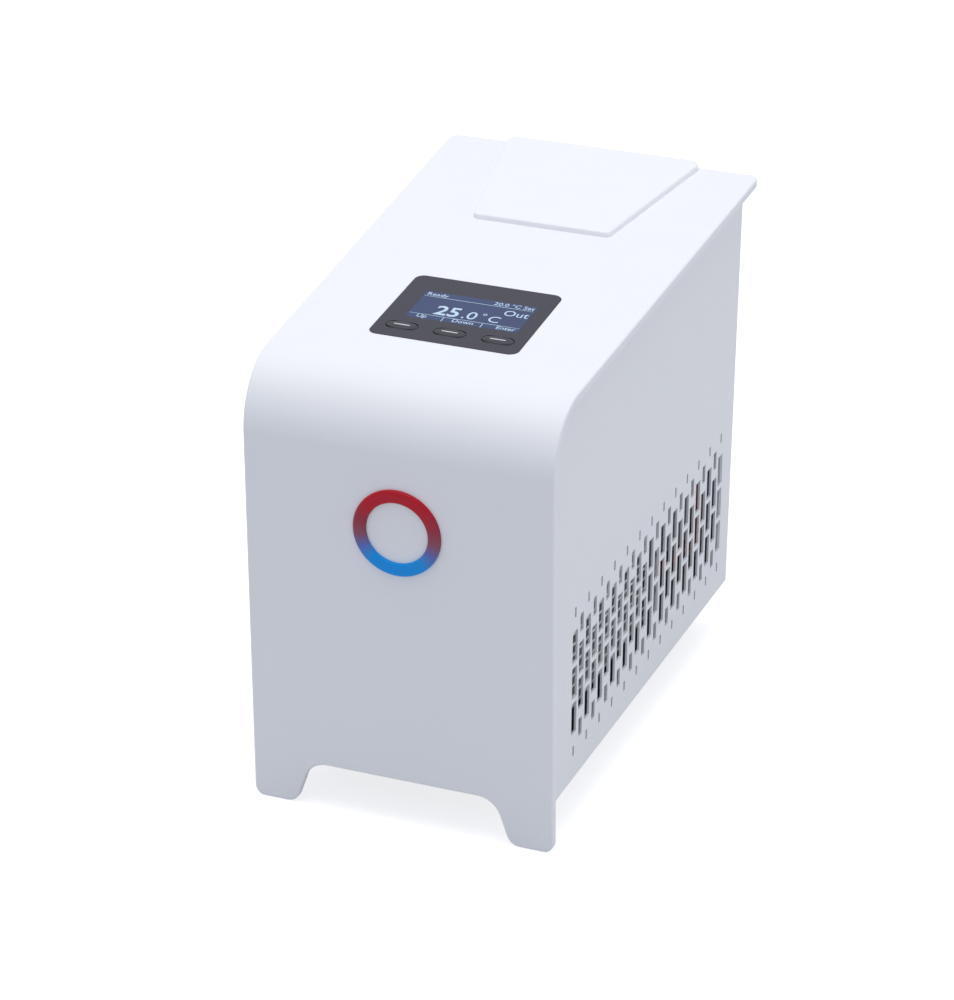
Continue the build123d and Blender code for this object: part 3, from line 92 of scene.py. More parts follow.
# The display's lines, in millimetres above the window's middle.
HEADER_LINE = 10.5
HEADER_RULE = 9.4
WORD_LINE = 1.2
DEGREE_LINE = -6.0
UNIT_LINE = -8.0
DECIMAL_LINE = -8.2
NUMBER_LINE = -8.3
FOOTER_RULE = -10.2
FOOTER_LINE = -13.8
RIGHT_EDGE = 29.4
UNIT_SHARE = 1.15
RULE_SHARE = 0.985

KEY_EDGE = 0.19 * MM
KEY_RIM_DROP = 0.45 * MM
KEY_SKIRT_DROP = 0.8 * MM
KEY_ROWS = 18
KEY_CENTRE_SHARE = 0.05
KEY_POWER = 2.2
FLAT_TOP = 0.02 * MM


def screen(red, green, blue):
    """The linear colour of a screen colour given in steps of 255."""
    steps = np.array((red, green, blue)) / 255.0
    linear = np.where(steps <= 0.04045, steps / 12.92, ((steps + 0.055) / 1.055) ** 2.4)
    return tuple(float(part) for part in linear)


def opaque(colour):
    """A colour with full alpha, as a node's socket takes it."""
    return (*colour, 1.0)


def colour_setting(name, description, default):
    """A colour that the panel shows."""
    return bpy.props.FloatVectorProperty(
        name=name, description=description, subtype="COLOR", size=3,
        min=0.0, max=1.0, default=default,
    )


def length_setting(name, description, default):
    """A length in metres that the panel shows."""
    return bpy.props.FloatProperty(
        name=name, description=description, default=default, min=0.0,
        unit="LENGTH", precision=5,
    )


class CabinetColours(bpy.types.PropertyGroup):
    """Colours of the parts that show."""

    cover: colour_setting("Cover", "Paint of the front and top cover", screen(241, 242, 245))
    panel: colour_setting("Side panels", "Powder coat of the side panels", screen(238, 239, 241))
    lid: colour_setting("Lid", "Paint of the filler lid", screen(242, 243, 246))
    bezel: colour_setting("Bezel", "Face film round the display", screen(65, 64, 74))
    picture: colour_setting("Picture", "Lit ground of the display", screen(58, 72, 112))
    marks: colour_setting("Marks", "Lit figures of the display", screen(184, 210, 230))
    dash: colour_setting("Dashes", "Print on the keys", screen(235, 235, 238))
    ring_warm: colour_setting("Ring top", "Warm end of the ring", screen(190, 10, 36))
    ring_middle: colour_setting("Ring side", "Middle of the ring", screen(142, 82, 104))
    ring_cool: colour_setting("Ring bottom", "Cool end of the ring", screen(0, 152, 238))


class PrintSizes(bpy.types.PropertyGroup):
    """Sizes of the display's figures and of the keys' dashes."""

    depth: length_setting("Depth", "Height of the print above its ground", 0.04 * MM)
    small_text: length_setting("Small figures", "Letter size of the top and bottom lines", 4.7 * MM)
    large_text: length_setting("Large figures", "Letter size of the main number", 13.6 * MM)
    middle_text: length_setting("Middle figures", "Letter size beside the main number", 11.4 * MM)
    side_text: length_setting("Side word", "Letter size of the word at the right", 8.2 * MM)
    rule: length_setting("Rule", "Width of the two ruled lines", 0.35 * MM)
    dash_length: length_setting("Dash length", "Length of the dash on a key", 8.6 * MM)
    dash_width: length_setting("Dash width", "Width of the dash on a key", 0.75 * MM)


class StudioSettings(bpy.types.PropertyGroup):
    """Camera and light of the studio."""

    lens: bpy.props.FloatProperty(
        name="Lens", description="Focal length on a 36 mm sensor", default=134.885, unit="CAMERA"
    )
    azimuth: bpy.props.FloatProperty(
        name="Azimuth", description="Turn of the camera round the object",
        default=math.radians(21.491), unit="ROTATION",
    )
    elevation: bpy.props.FloatProperty(
        name="Elevation", description="Height angle of the camera",
        default=math.radians(24.922), unit="ROTATION",
    )
    roll: bpy.props.FloatProperty(
        name="Roll", description="Turn of the camera about its own axis",
        default=math.radians(0.383), unit="ROTATION",
    )
    sky: bpy.props.FloatProperty(
        name="Sky", description="Strength of the even light from all sides", default=0.62
    )
    lamp: bpy.props.FloatProperty(
        name="Lamp", description="Power of the overhead lamp", default=15.0, unit="POWER"
    )
    fill: bpy.props.FloatProperty(
        name="Fill", description="Power of the lamp at the right", default=3.0, unit="POWER"
    )
    sky_colour: colour_setting("Sky colour", "Colour of the even light", (0.83, 0.885, 1.0))
    lamp_colour: colour_setting("Lamp colour", "Colour of the lamps", (1.0, 0.975, 0.94))
    floor: colour_setting("Floor", "Colour of the floor", screen(212, 212, 214))
    floor_lift: bpy.props.FloatProperty(
        name="Floor lift", description="White that the eye sees over the floor's own", default=0.66
    )


class Number:
    """A value in a node tree. Arithmetic on it adds Math nodes."""

    def __init__(self, nodes, socket):
        self.nodes = nodes
        self.socket = socket

    def worked(self, operation, *values):
        """The result of a Math node on these values."""
        node = self.nodes.add("ShaderNodeMath", {"operation": operation}, list(values))
        return Number(self.nodes, node.outputs[0])

    def __add__(self, other):
        return self.worked("ADD", self, other)

    def __radd__(self, other):
        return self.worked("ADD", other, self)

    def __sub__(self, other):
        return self.worked("SUBTRACT", self, other)

    def __rsub__(self, other):
        return self.worked("SUBTRACT", other, self)

    def __mul__(self, other):
        return self.worked("MULTIPLY", self, other)

    def __rmul__(self, other):
        return self.worked("MULTIPLY", other, self)

    def or_more(self, other):
        """The larger of this value and another."""
        return self.worked("MAXIMUM", self, other)

    def above(self, edge):
        """1 where this value is above the edge, else 0."""
        return self.worked("GREATER_THAN", self, edge)


class Nodes:
    """A node tree with one way to add a node of any kind."""

    def __init__(self, tree):
        self.tree = tree

    def add(self, kind, settings=None, values=None):
        """A new node: its settings are set first, then the values or links of its sockets."""
        node = self.tree.nodes.new(kind)
        for name, value in (settings or {}).items():
            if name == "stops":
                self.set_stops(node.color_ramp, value)
            else:
                setattr(node, name, value)
        pairs = values.items() if isinstance(values, dict) else enumerate(values or [])
        for name, value in pairs:
            self.feed(node.inputs[name], value)
        return node

    def set_stops(self, ramp, stops):
        """Places and colours of a ramp's stops."""
        while len(ramp.elements) < len(stops):
            ramp.elements.new(0.5)
        for element, (position, colour) in zip(ramp.elements, stops):
            element.position = position
            element.color = opaque(colour)

    def feed(self, socket, value):
        """Links a socket to another, or sets its own value."""
        source = getattr(value, "socket", value)
        if isinstance(source, bpy.types.NodeSocket):
            self.tree.links.new(source, socket)
        else:
            socket.default_value = source

    def mixed(self, factor, first, second):
        """The colour between two colours."""
        mix = self.add("ShaderNodeMix", {"data_type": "RGBA"}, {0: factor, 6: first, 7: second})
        return mix.outputs[2]


class Finish(Nodes):
    """A material: its shader, and the patterns that the finishes share."""

    def __init__(self, name):
        self.material = bpy.data.materials.new(name)
        self.material.use_nodes = True
        super().__init__(self.material.node_tree)
        self.shader = self.tree.nodes["Principled BSDF"]
        self.place = self.add("ShaderNodeTexCoord").outputs["Object"]

    def set(self, name, value):
        """Feeds one of the shader's sockets."""
        self.feed(self.shader.inputs[name], value)

    def stretched(self, scale):
        """The place on the piece, stretched along its axes."""
        values = {"Vector": self.place, "Scale": scale}
        return self.add("ShaderNodeMapping", {}, values).outputs[0]

    def noise(self, grain, detail=2.0, place=None):
        """Cloudy noise from 0 to 1 with grains of a given size in metres."""
        values = {"Vector": place or self.place, "Scale": 1.0 / grain, "Detail": detail}
        return Number(self, self.add("ShaderNodeTexNoise", {}, values).outputs[0])

    def cells(self, size):
        """A steady random value for each cell of a given size in metres."""
        values = {"Vector": self.place, "Scale": 1.0 / size}
        cell = self.add("ShaderNodeTexVoronoi", {"feature": "F1"}, values)
        split = self.add("ShaderNodeSeparateColor", {}, [cell.outputs["Color"]])
        return Number(self, split.outputs[0])

    def bump(self, height, depth):
        """Bends the normals by a height, whose full step is depth in metres."""
        bump = self.add("ShaderNodeBump", {}, {"Height": height, "Distance": depth, "Strength": 1.0})
        self.set("Normal", bump.outputs[0])

    def shade(self, colour, factor, spread):
        """Base colour that grows darker by spread where the factor is 1."""
        darker = tuple(part * (1.0 - spread) for part in colour)
        self.set("Base Color", self.mixed(factor, opaque(colour), opaque(darker)))


def powder_coat(name, colour, grain=0.55 * MM, depth=0.012 * MM):
    """White paint with the fine orange peel of a powder coat."""
    finish = Finish(name)
    peel = finish.noise(grain, 3.0)
    cloud = finish.noise(24.0 * MM, 1.0)
    finish.shade(colour, cloud * 0.5 + peel * 0.5, 0.035)
    finish.set("Roughness", 0.42 + peel * 0.16)
    finish.bump(peel, depth)
    finish.set("Specular IOR Level", 0.4)
    return finish.material


def moulded(name, colour, roughness, grain=0.35 * MM, depth=0.010 * MM):
    """Moulded plastic with the fine spark texture of its mould."""
    finish = Finish(name)
    spark = finish.noise(grain, 2.0)
    cloud = finish.noise(15.0 * MM, 1.0)
    finish.shade(colour, spark * 0.6 + cloud * 0.4, 0.10)
    finish.set("Roughness", roughness - 0.06 + spark * 0.12)
    finish.bump(spark, depth)
    return finish.material


def brushed(name, colour, roughness, stretch, depth=0.006 * MM):
    """Metal with fine lines along the axis whose stretch is smallest."""
    finish = Finish(name)
    lines = finish.noise(0.5 * MM, 3.0, finish.stretched(stretch))
    cloud = finish.noise(12.0 * MM, 2.0)
    finish.shade(colour, lines * 0.7 + cloud * 0.3, 0.22)
    finish.set("Metallic", 1.0)
    finish.set("Roughness", roughness - 0.08 + lines * 0.16)
    finish.bump(lines, depth)
    return finish.material


def zinc_coat(name, colour):
    """Zinc plated sheet: pale cells of the coating, each a little different."""
    finish = Finish(name)
    spangle = finish.cells(5.0 * MM)
    cloud = finish.noise(1.2 * MM, 3.0)
    finish.shade(colour, spangle * 0.7 + cloud * 0.3, 0.24)
    finish.set("Metallic", 1.0)
    finish.set("Roughness", 0.36 + spangle * 0.14)
    finish.bump(cloud, 0.008 * MM)
    return finish.material


def circuit_board(name, colour):
    """Green board with the paler tracks under its lacquer."""
    finish = Finish(name)
    tracks = finish.cells(1.8 * MM).above(0.62)
    finish.shade(colour, 1.0 - tracks, 0.35)
    finish.set("Roughness", 0.30 + tracks * 0.12)
    finish.bump(tracks, 0.02 * MM)
    return finish.material


def display_film(name, colour):
    """Matt dark film with a very fine grain and a satin face."""
    finish = Finish(name)
    grain = finish.noise(0.18 * MM, 2.0)
    cloud = finish.noise(18.0 * MM, 1.0)
    finish.shade(colour, grain * 0.5 + cloud * 0.5, 0.08)
    finish.set("Roughness", 0.48 + grain * 0.10)
    finish.bump(grain, 0.004 * MM)
    finish.set("Specular IOR Level", 0.2)
    return finish.material


def lit_picture(name, colour):
    """Backlit ground of the display under its clear window, with a faint cloudy unevenness."""
    finish = Finish(name)
    cloud = finish.noise(30.0 * MM, 1.0)
    dots = finish.noise(0.3 * MM, 1.0)
    finish.shade(colour, cloud * 0.6 + dots * 0.4, 0.35)
    finish.set("Roughness", 0.24 + dots * 0.06)
    finish.set("Specular IOR Level", 0.15)
    finish.set("Emission Color", opaque(colour))
    finish.set("Emission Strength", 0.1)
    return finish.material


def lit_marks(name, colour, strength):
    """Lit or printed figures, with the faint unevenness of the dots behind them."""
    finish = Finish(name)
    dots = finish.noise(0.35 * MM, 1.0)
    finish.shade(colour, dots, 0.12)
    finish.set("Roughness", 0.35 + dots * 0.1)
    finish.set("Emission Color", opaque(colour))
    finish.set("Emission Strength", strength)
    return finish.material


def ring_finish(name, warm, middle, cool):
    """Glossy ring whose colour runs from warm at its top to cool at its bottom."""
    finish = Finish(name)
    upward = finish.add("ShaderNodeAttribute", {"attribute_name": "upward"}).outputs["Fac"]
    violet = screen(98, 112, 184)
    brown = screen(158, 48, 64)
    stops = [(0.0, cool), (0.12, cool), (0.28, violet), (0.42, middle), (0.62, brown), (0.85, warm)]
    ramp = finish.add("ShaderNodeValToRGB", {"stops": stops}, [upward])
    cloud = finish.noise(0.6 * MM, 2.0)
    darker = finish.mixed(cloud * 0.14, ramp.outputs[0], opaque(screen(20, 10, 30)))
    finish.set("Base Color", darker)
    finish.set("Roughness", 0.26 + cloud * 0.08)
    finish.set("Specular IOR Level", 0.22)
    return finish.material


def clear_hose(name, colour):
    """Milky hose: soft sheen and faint streaks along its length."""
    finish = Finish(name)
    streak = finish.noise(2.0 * MM, 2.0)
    finish.shade(colour, streak, 0.12)
    finish.set("Roughness", 0.22 + streak * 0.12)
    finish.set("Subsurface Weight", 0.3)
    finish.set("Subsurface Radius", (0.004, 0.004, 0.004))
    finish.bump(streak, 0.01 * MM)
    return finish.material


def put(name, mesh, material, body=CABINET, stands_for=()):
    """Links a finished mesh as a piece that rides on a body and may stand for nodes."""
    piece = bpy.data.objects.new(name, mesh)
    bpy.context.scene.collection.objects.link(piece)
    mesh.materials.clear()
    mesh.materials.append(material)
    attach(piece, body)
    if stands_for:
        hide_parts(*stands_for)
    return piece


def body_of(node):
    """The body that a node belongs to."""
    return frame["nodes"][node]["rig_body"]


def smooth_copy(node, material):
    """A merged copy of a node with smooth faces and its sharp edges kept, standing for the node."""
    mesh = frame["nodes"][node].data.copy()
    mesh.name = node + "_skin"
    for layer in ("custom_normal", "sharp_face", "sharp_edge"):
        if layer in mesh.attributes:
            mesh.attributes.remove(mesh.attributes[layer])
    shape = bmesh.new()
    shape.from_mesh(mesh)
    bmesh.ops.remove_doubles(shape, verts=shape.verts, dist=MERGE)
    for edge in shape.edges:
        edge.smooth = edge.calc_face_angle(0.0) < SHARP_ANGLE
    for face in shape.faces:
        face.smooth = True
    shape.to_mesh(mesh)
    shape.free()
    piece = put(mesh.name, mesh, material, body_of(node), [node])
    even = piece.modifiers.new("Even shading", "WEIGHTED_NORMAL")
    even.keep_sharp = True


def dress(material, smooth=(), flat=()):
    """Gives nodes a finish: curved ones as smooth copies, flat ones as they are."""
    for node in smooth:
        smooth_copy(node, material)
    for node in flat:
        node_object = frame["nodes"][node]
        node_object.data.materials.clear()
        node_object.data.materials.append(material)


def triangles(node):
    """Corner points (count, 3, 3) of a node's triangles."""
    mesh = frame["nodes"][node].data
    mesh.calc_loop_triangles()
    places = np.empty(len(mesh.vertices) * 3)
    mesh.vertices.foreach_get("co", places)
    corners = np.empty(len(mesh.loop_triangles) * 3, dtype=np.int32)
    mesh.loop_triangles.foreach_get("vertices", corners)
    return places.reshape(-1, 3)[corners].reshape(-1, 3, 3)


def outer_face(node, towards):
    """Middle and normal of the flat face that looks most along a direction: of the triangles that
    share the largest one's normal, those whose plane lies furthest out, weighted by area."""
    corners = triangles(node)
    crossed = np.cross(corners[:, 1] - corners[:, 0], corners[:, 2] - corners[:, 0])
    double_area = np.linalg.norm(crossed, axis=1) + 1e-18
    normals = crossed / double_area[:, None]
    weight = np.where(normals @ np.array(towards) > 0.7, double_area, 0.0)
    normal = normals[weight.argmax()]
    middles = corners.mean(axis=1)
    reach = middles @ normal
    same = (normals @ normal > 0.9999) & (weight > 0.0)
    chosen = same & (reach > reach[same].max() - 0.05 * MM)
    centre = np.average(middles[chosen], axis=0, weights=double_area[chosen])
    return centre, normal


def face_matrix(centre, normal):
    """A place on a face: its first axis runs to the right, its second up the face, its third out."""
    right = np.array((1.0, 0.0, 0.0))
    up_face = np.cross(normal, right)
    return Matrix((
        (right[0], up_face[0], normal[0], centre[0]),
        (right[1], up_face[1], normal[1], centre[1]),
        (right[2], up_face[2], normal[2], centre[2]),
        (0.0, 0.0, 0.0, 1.0),
    ))


def grid_mesh(name, points, closed_rows=False):
    """A closed mesh over a grid of points (rows, columns, 3). A quad joins four neighbours, the columns
    close on themselves, and the rows either close too or end on a middle point at each end."""
    rows, columns = points.shape[:2]
    places = points.reshape(-1, 3)
    row = np.arange(rows if closed_rows else rows - 1)[:, None]
    column = np.arange(columns)[None, :]
    after_row = (row + 1) % rows
    after_column = (column + 1) % columns
    first = row * columns + column
    second = row * columns + after_column
    third = after_row * columns + after_column
    fourth = after_row * columns + column
    faces = np.stack([first, second, third, fourth], axis=-1).reshape(-1, 4).tolist()
    if not closed_rows:
        count = len(places)
        places = np.vstack([places, points[0].mean(axis=0), points[-1].mean(axis=0)])
        around = np.arange(columns)
        ahead = (around + 1) % columns
        last = (rows - 1) * columns
        faces += np.stack([np.full(columns, count), ahead, around], axis=-1).tolist()
        faces += np.stack([np.full(columns, count + 1), last + around, last + ahead], axis=-1).tolist()
    mesh = bpy.data.meshes.new(name)
    mesh.from_pydata(places.tolist(), [], faces)
    mesh.polygons.foreach_set("use_smooth", np.ones(len(mesh.polygons), dtype=bool))
    mesh.update()
    return mesh


def oval_grid(half_width, half_length, heights, shares, power, columns=64):
    """Points of an oval button: each row is the superellipse |x/a|^p + |y/b|^p = 1, scaled by
    its share of the full size and set at its height."""
    angle = np.linspace(0.0, 2.0 * math.pi, columns, endpoint=False)
    cosine = np.sign(np.cos(angle)) * np.abs(np.cos(angle)) ** (2.0 / power)
    sine = np.sign(np.sin(angle)) * np.abs(np.sin(angle)) ** (2.0 / power)
    share = np.array(shares)[:, None]
    across = share * half_width * cosine
    along = share * half_length * sine
    rise = np.repeat(np.array(heights)[:, None], columns, axis=1)
    return np.stack([across, along, rise], axis=-1)


def text_mesh(words, size, weight, align):
    """Thin solid letters as a mesh, at the origin, reading along the first axis."""
    depth = bpy.context.scene.circulator_print.depth
    letters = bpy.data.curves.new("letters", "FONT")
    letters.body = words
    letters.size = size
    letters.offset = weight
    letters.extrude = depth / 2.0
    letters.align_x = align
    letters.resolution_u = 3
    holder = bpy.data.objects.new("letters", letters)
    bpy.context.scene.collection.objects.link(holder)
    bpy.context.view_layer.update()
    mesh = bpy.data.meshes.new_from_object(holder.evaluated_get(bpy.context.evaluated_depsgraph_get()))
    bpy.data.objects.remove(holder)
    return mesh


def joined(name, meshes):
    """One mesh of several, each given with its place."""
    shape = bmesh.new()
    for mesh, place in meshes:
        mesh.transform(place)
        shape.from_mesh(mesh)
        bpy.data.meshes.remove(mesh)
    whole = bpy.data.meshes.new(name)
    bmesh.ops.remove_doubles(shape, verts=shape.verts, dist=MERGE)
    shape.to_mesh(whole)
    shape.free()
    return whole


def bar_mesh(length, width, depth):
    """A thin flat bar, whose outline is a superellipse of power 8."""
    points = oval_grid(length / 2.0, width / 2.0, (-depth, depth), (1.0, 1.0), 8.0, 32)
    return grid_mesh("bar", points)


class CIRCULATOR_OT_cover(bpy.types.Operator):
    """Paints the one-piece front and top cover and the filler lid"""

    bl_idname = "circulator.cover"
    bl_label = "Cover and lid"

    def execute(self, context):
        colours = context.scene.circulator_colours
        dress(powder_coat("cover paint", tuple(colours.cover)), ["front_top_cover"])
        dress(powder_coat("lid paint", tuple(colours.lid)), ["filler_lid"])
        return {"FINISHED"}


class CIRCULATOR_OT_panels(bpy.types.Operator):
    """Coats the slotted side panels and the rear panel"""

    bl_idname = "circulator.panels"
    bl_label = "Side and rear panels"

    def execute(self, context):
        colour = tuple(context.scene.circulator_colours.panel)
        coat = powder_coat("panel powder coat", colour, 0.7 * MM, 0.016 * MM)
        dress(coat, ["side_panel_left", "side_panel_right"])
        rear = powder_coat("rear powder coat", colour, 0.7 * MM, 0.016 * MM)
        dress(rear, ["rear_panel"])
        return {"FINISHED"}


class CIRCULATOR_OT_ring(bpy.types.Operator):
    """Makes the two-colour indicator ring of the front"""

    bl_idname = "circulator.ring"
    bl_label = "Indicator ring"

    def execute(self, context):
        colours = context.scene.circulator_colours
        mesh = ring_mesh(*ring_measures())
        material = ring_finish(
            "ring gloss", tuple(colours.ring_warm), tuple(colours.ring_middle), tuple(colours.ring_cool)
        )
        put("indicator_ring_gloss", mesh, material, CABINET, ["indicator_ring"])
        return {"FINISHED"}


def ring_measures():
    """Outer and inner radius, half thickness, middle and normal of the ring's node. The normal is the
    direction in which its points spread least."""
    low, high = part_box("indicator_ring")
    middle = np.array((low + high) / 2.0)
    points = triangles("indicator_ring").reshape(-1, 3) - middle
    normal = np.linalg.svd(np.unique(points.round(7), axis=0), full_matrices=False)[2][2]
    normal = normal * np.sign(normal @ np.array(FORWARD))
    heights = points @ normal
    radii = np.linalg.norm(points - np.outer(heights, normal), axis=1)
    return radii.max(), radii.min(), heights.max(), middle, normal


def ring_mesh(outer, inner, half_height, middle, normal, columns=160, rows=36):
    """A ring whose section is the superellipse |r/a|^4 + |h/b|^4 = 1, turned once round the normal.
    Its attribute upward runs from 0 at the bottom to 1 at the top."""
    angle = np.linspace(0.0, 2.0 * math.pi, columns, endpoint=False)[None, :]
    turn = np.linspace(0.0, 2.0 * math.pi, rows, endpoint=False)[:, None]
    across = np.sign(np.cos(turn)) * np.sqrt(np.abs(np.cos(turn)))
    height = np.sign(np.sin(turn)) * np.sqrt(np.abs(np.sin(turn)))
    radius = (outer + inner) / 2.0 + (outer - inner) / 2.0 * across
    rise = half_height * height
    local = np.stack([
        radius * np.cos(angle),
        radius * np.sin(angle),
        np.broadcast_to(rise, (rows, columns)),
    ], axis=-1)
    place = np.array(face_matrix(middle, normal))
    points = local @ place[:3, :3].T + place[:3, 3]
    mesh = grid_mesh("indicator_ring_gloss", points, closed_rows=True)
    upward = np.broadcast_to((np.sin(angle) + 1.0) / 2.0, (rows, columns))
    layer = mesh.attributes.new("upward", "FLOAT", "POINT")
    layer.data.foreach_set("value", np.ascontiguousarray(upward, dtype=np.float32).ravel())
    return mesh


class CIRCULATOR_OT_display(bpy.types.Operator):
    """Finishes the bezel and the lit display with its generic figures"""

    bl_idname = "circulator.display"
    bl_label = "Display"

    def execute(self, context):
        colours = context.scene.circulator_colours
        dress(display_film("bezel film", tuple(colours.bezel)), ["display_bezel"])
        dress(lit_picture("display ground", tuple(colours.picture)), flat=["display_glass"])
        figures = joined("display_figures", display_marks(context.scene.circulator_print))
        put("display_figures", figures, lit_marks("lit figures", tuple(colours.marks), 0.12))
        return {"FINISHED"}


def display_marks(sizes):
    """The display's figures as meshes with their places: numbers, generic words and ruled lines.
    Places are measured in millimetres from the window's middle, to the right and up its face."""
    ground = face_matrix(*outer_face("display_glass", UP))
    thin = 0.02 * MM
    bold = 0.26 * MM
    words = (
        ("Ready", sizes.small_text, thin, "LEFT", -28.8, HEADER_LINE),
        ("20.0 °C Set", sizes.small_text, thin, "RIGHT", RIGHT_EDGE, HEADER_LINE),
        ("25", sizes.large_text, bold, "LEFT", -18.0, NUMBER_LINE),
        (".0", sizes.middle_text, thin, "LEFT", -3.4, DECIMAL_LINE),
        ("°", sizes.side_text, 0.0, "LEFT", 6.2, DEGREE_LINE),
        ("C", sizes.side_text * UNIT_SHARE, thin, "LEFT", 10.6, UNIT_LINE),
        ("Out", sizes.side_text, thin, "RIGHT", RIGHT_EDGE, WORD_LINE),
        ("Up", sizes.small_text, thin, "LEFT", -25.0, FOOTER_LINE),
        ("|", sizes.small_text, thin, "CENTER", -10.8, FOOTER_LINE),
        ("Down", sizes.small_text, thin, "CENTER", 0.0, FOOTER_LINE),
        ("|", sizes.small_text, thin, "CENTER", 10.2, FOOTER_LINE),
        ("Enter", sizes.small_text, thin, "RIGHT", 28.2, FOOTER_LINE),
    )
    marks = []
    for text, size, weight, align, right, up_face in words:
        place = ground @ Matrix.Translation(Vector((right * MM, up_face * MM, 0.0)))
        marks.append((text_mesh(text, size, weight, align), place))
    low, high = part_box("display_glass")
    for up_face in (HEADER_RULE, FOOTER_RULE):
        rule = bar_mesh((high.x - low.x) * RULE_SHARE, sizes.rule, sizes.depth / 2.0)
        marks.append((rule, ground @ Matrix.Translation(Vector((0.0, up_face * MM, 0.0)))))
    return marks


class CIRCULATOR_OT_keys(bpy.types.Operator):
    """Makes the three domed keys under the display, each with its printed dash"""

    bl_idname = "circulator.keys"
    bl_label = "Keys"

    def execute(self, context):
        colours = context.scene.circulator_colours
        sizes = context.scene.circulator_print
        film = display_film("key film", tuple(colours.bezel))
        ink = lit_marks("key print", tuple(colours.dash), 0.0)
        for key in KEYS:
            place = face_matrix(*outer_face(key, UP))
            put(key + "_dome", key_mesh(key, place), film, key, [key])
            dash = bar_mesh(sizes.dash_length, sizes.dash_width, sizes.depth)
            dash.transform(place)
            put(key + "_dash", dash, ink, key)
        return {"FINISHED"}


def key_mesh(key, place):
    """A shallow dome on an oval: the height falls from the middle as 1 - share^4, and a skirt goes down
    to the key's flange."""
    corners = triangles(key).reshape(-1, 3)
    inverse = np.array(place.inverted())
    local = corners @ inverse[:3, :3].T + inverse[:3, 3]
    top = local[np.abs(local[:, 2]) < FLAT_TOP]
    half_width, half_length = np.abs(top).max(axis=0)[:2] + KEY_EDGE
    bottom = local[:, 2].min()
    dome = np.linspace(KEY_CENTRE_SHARE, 1.0, KEY_ROWS)
    shares = np.concatenate([dome, [1.0, 1.0]])
    heights = np.concatenate([-KEY_RIM_DROP * dome ** 4, [-KEY_SKIRT_DROP, bottom]])
    points = oval_grid(half_width, half_length, heights[::-1], shares[::-1], KEY_POWER)
    mesh = grid_mesh(key + "_dome", points)
    mesh.transform(place)
    return mesh


class CIRCULATOR_OT_chassis(bpy.types.Operator):
    """Finishes the folded sheets and rails inside the cabinet"""

    bl_idname = "circulator.chassis"
    bl_label = "Chassis"

    def execute(self, context):
        sheets = ["base_tray", "corner_posts", "cover_rails", "equipment_shelf", "partition_plate"]
        dress(zinc_coat("zinc sheet", screen(176, 178, 182)), flat=sheets)
        return {"FINISHED"}


class CIRCULATOR_OT_tank(bpy.types.Operator):
    """Finishes the reservoir, its strainer and its float"""

    bl_idname = "circulator.tank"
    bl_label = "Reservoir"

    def execute(self, context):
        tank = moulded("tank plastic", screen(226, 228, 226), 0.38)
        dress(tank, ["reservoir_body", "reservoir_top"])
        steel = brushed("strainer steel", screen(200, 202, 205), 0.28, (1.0, 1.0, 0.05))
        dress(steel, ["filler_strainer", "level_stem"])
        dress(moulded("float plastic", screen(196, 60, 44), 0.4), ["level_float"])
        return {"FINISHED"}


class CIRCULATOR_OT_cooling(bpy.types.Operator):
    """Finishes the water block, the modules and the two heat sinks"""

    bl_idname = "circulator.cooling"
    bl_label = "Cooling block"

    def execute(self, context):
        fins = brushed("sawn aluminium", screen(228, 229, 232), 0.5, (1.0, 0.05, 1.0))
        dress(fins, flat=["heat_sink_left", "heat_sink_right"])
        block = brushed("milled aluminium", screen(190, 192, 196), 0.3, (1.0, 0.1, 1.0))
        dress(block, ["water_block"])
        dress(moulded("module ceramic", screen(240, 240, 236), 0.5), ["thermoelectric_modules"])
        return {"FINISHED"}


class CIRCULATOR_OT_fan(bpy.types.Operator):
    """Finishes the fan and the pump"""

    bl_idname = "circulator.fan"
    bl_label = "Fan and pump"

    def execute(self, context):
        dress(moulded("fan plastic", screen(28, 28, 30), 0.45), ["fan_frame", "fan_rotor"])
        pump = moulded("pump plastic", screen(34, 34, 38), 0.42)
        dress(pump, ["pump_housing", "pump_impeller"])
        motor = brushed("motor can", screen(188, 190, 194), 0.3, (1.0, 1.0, 0.05))
        dress(motor, ["pump_motor", "pump_bracket"])
        dress(moulded("rubber", screen(30, 30, 30), 0.75), ["pump_mounts"])
        return {"FINISHED"}


class CIRCULATOR_OT_hoses(bpy.types.Operator):
    """Finishes the inner hoses, their clamps and the pump's lead"""

    bl_idname = "circulator.hoses"
    bl_label = "Hoses and lead"

    def execute(self, context):
        hoses = ["suction_hose", "pressure_hose", "outlet_hose", "return_hose", "drain_hose"]
        dress(clear_hose("silicone hose", screen(214, 220, 220)), hoses)
        clamps = brushed("clamp steel", screen(198, 200, 204), 0.26, (1.0, 1.0, 1.0))
        dress(clamps, ["hose_clamps"])
        dress(moulded("lead sleeve", screen(126, 20, 26), 0.55), ["pump_lead"])
        return {"FINISHED"}


class CIRCULATOR_OT_fittings(bpy.types.Operator):
    """Finishes the nozzles and their nuts"""

    bl_idname = "circulator.fittings"
    bl_label = "Nozzles"

    def execute(self, context):
        brass = brushed("nickel on brass", screen(206, 202, 192), 0.24, (1.0, 0.3, 1.0))
        nozzles = ["outlet_nozzle", "return_nozzle", "drain_nozzle", "nozzle_nuts"]
        dress(brass, nozzles)
        return {"FINISHED"}


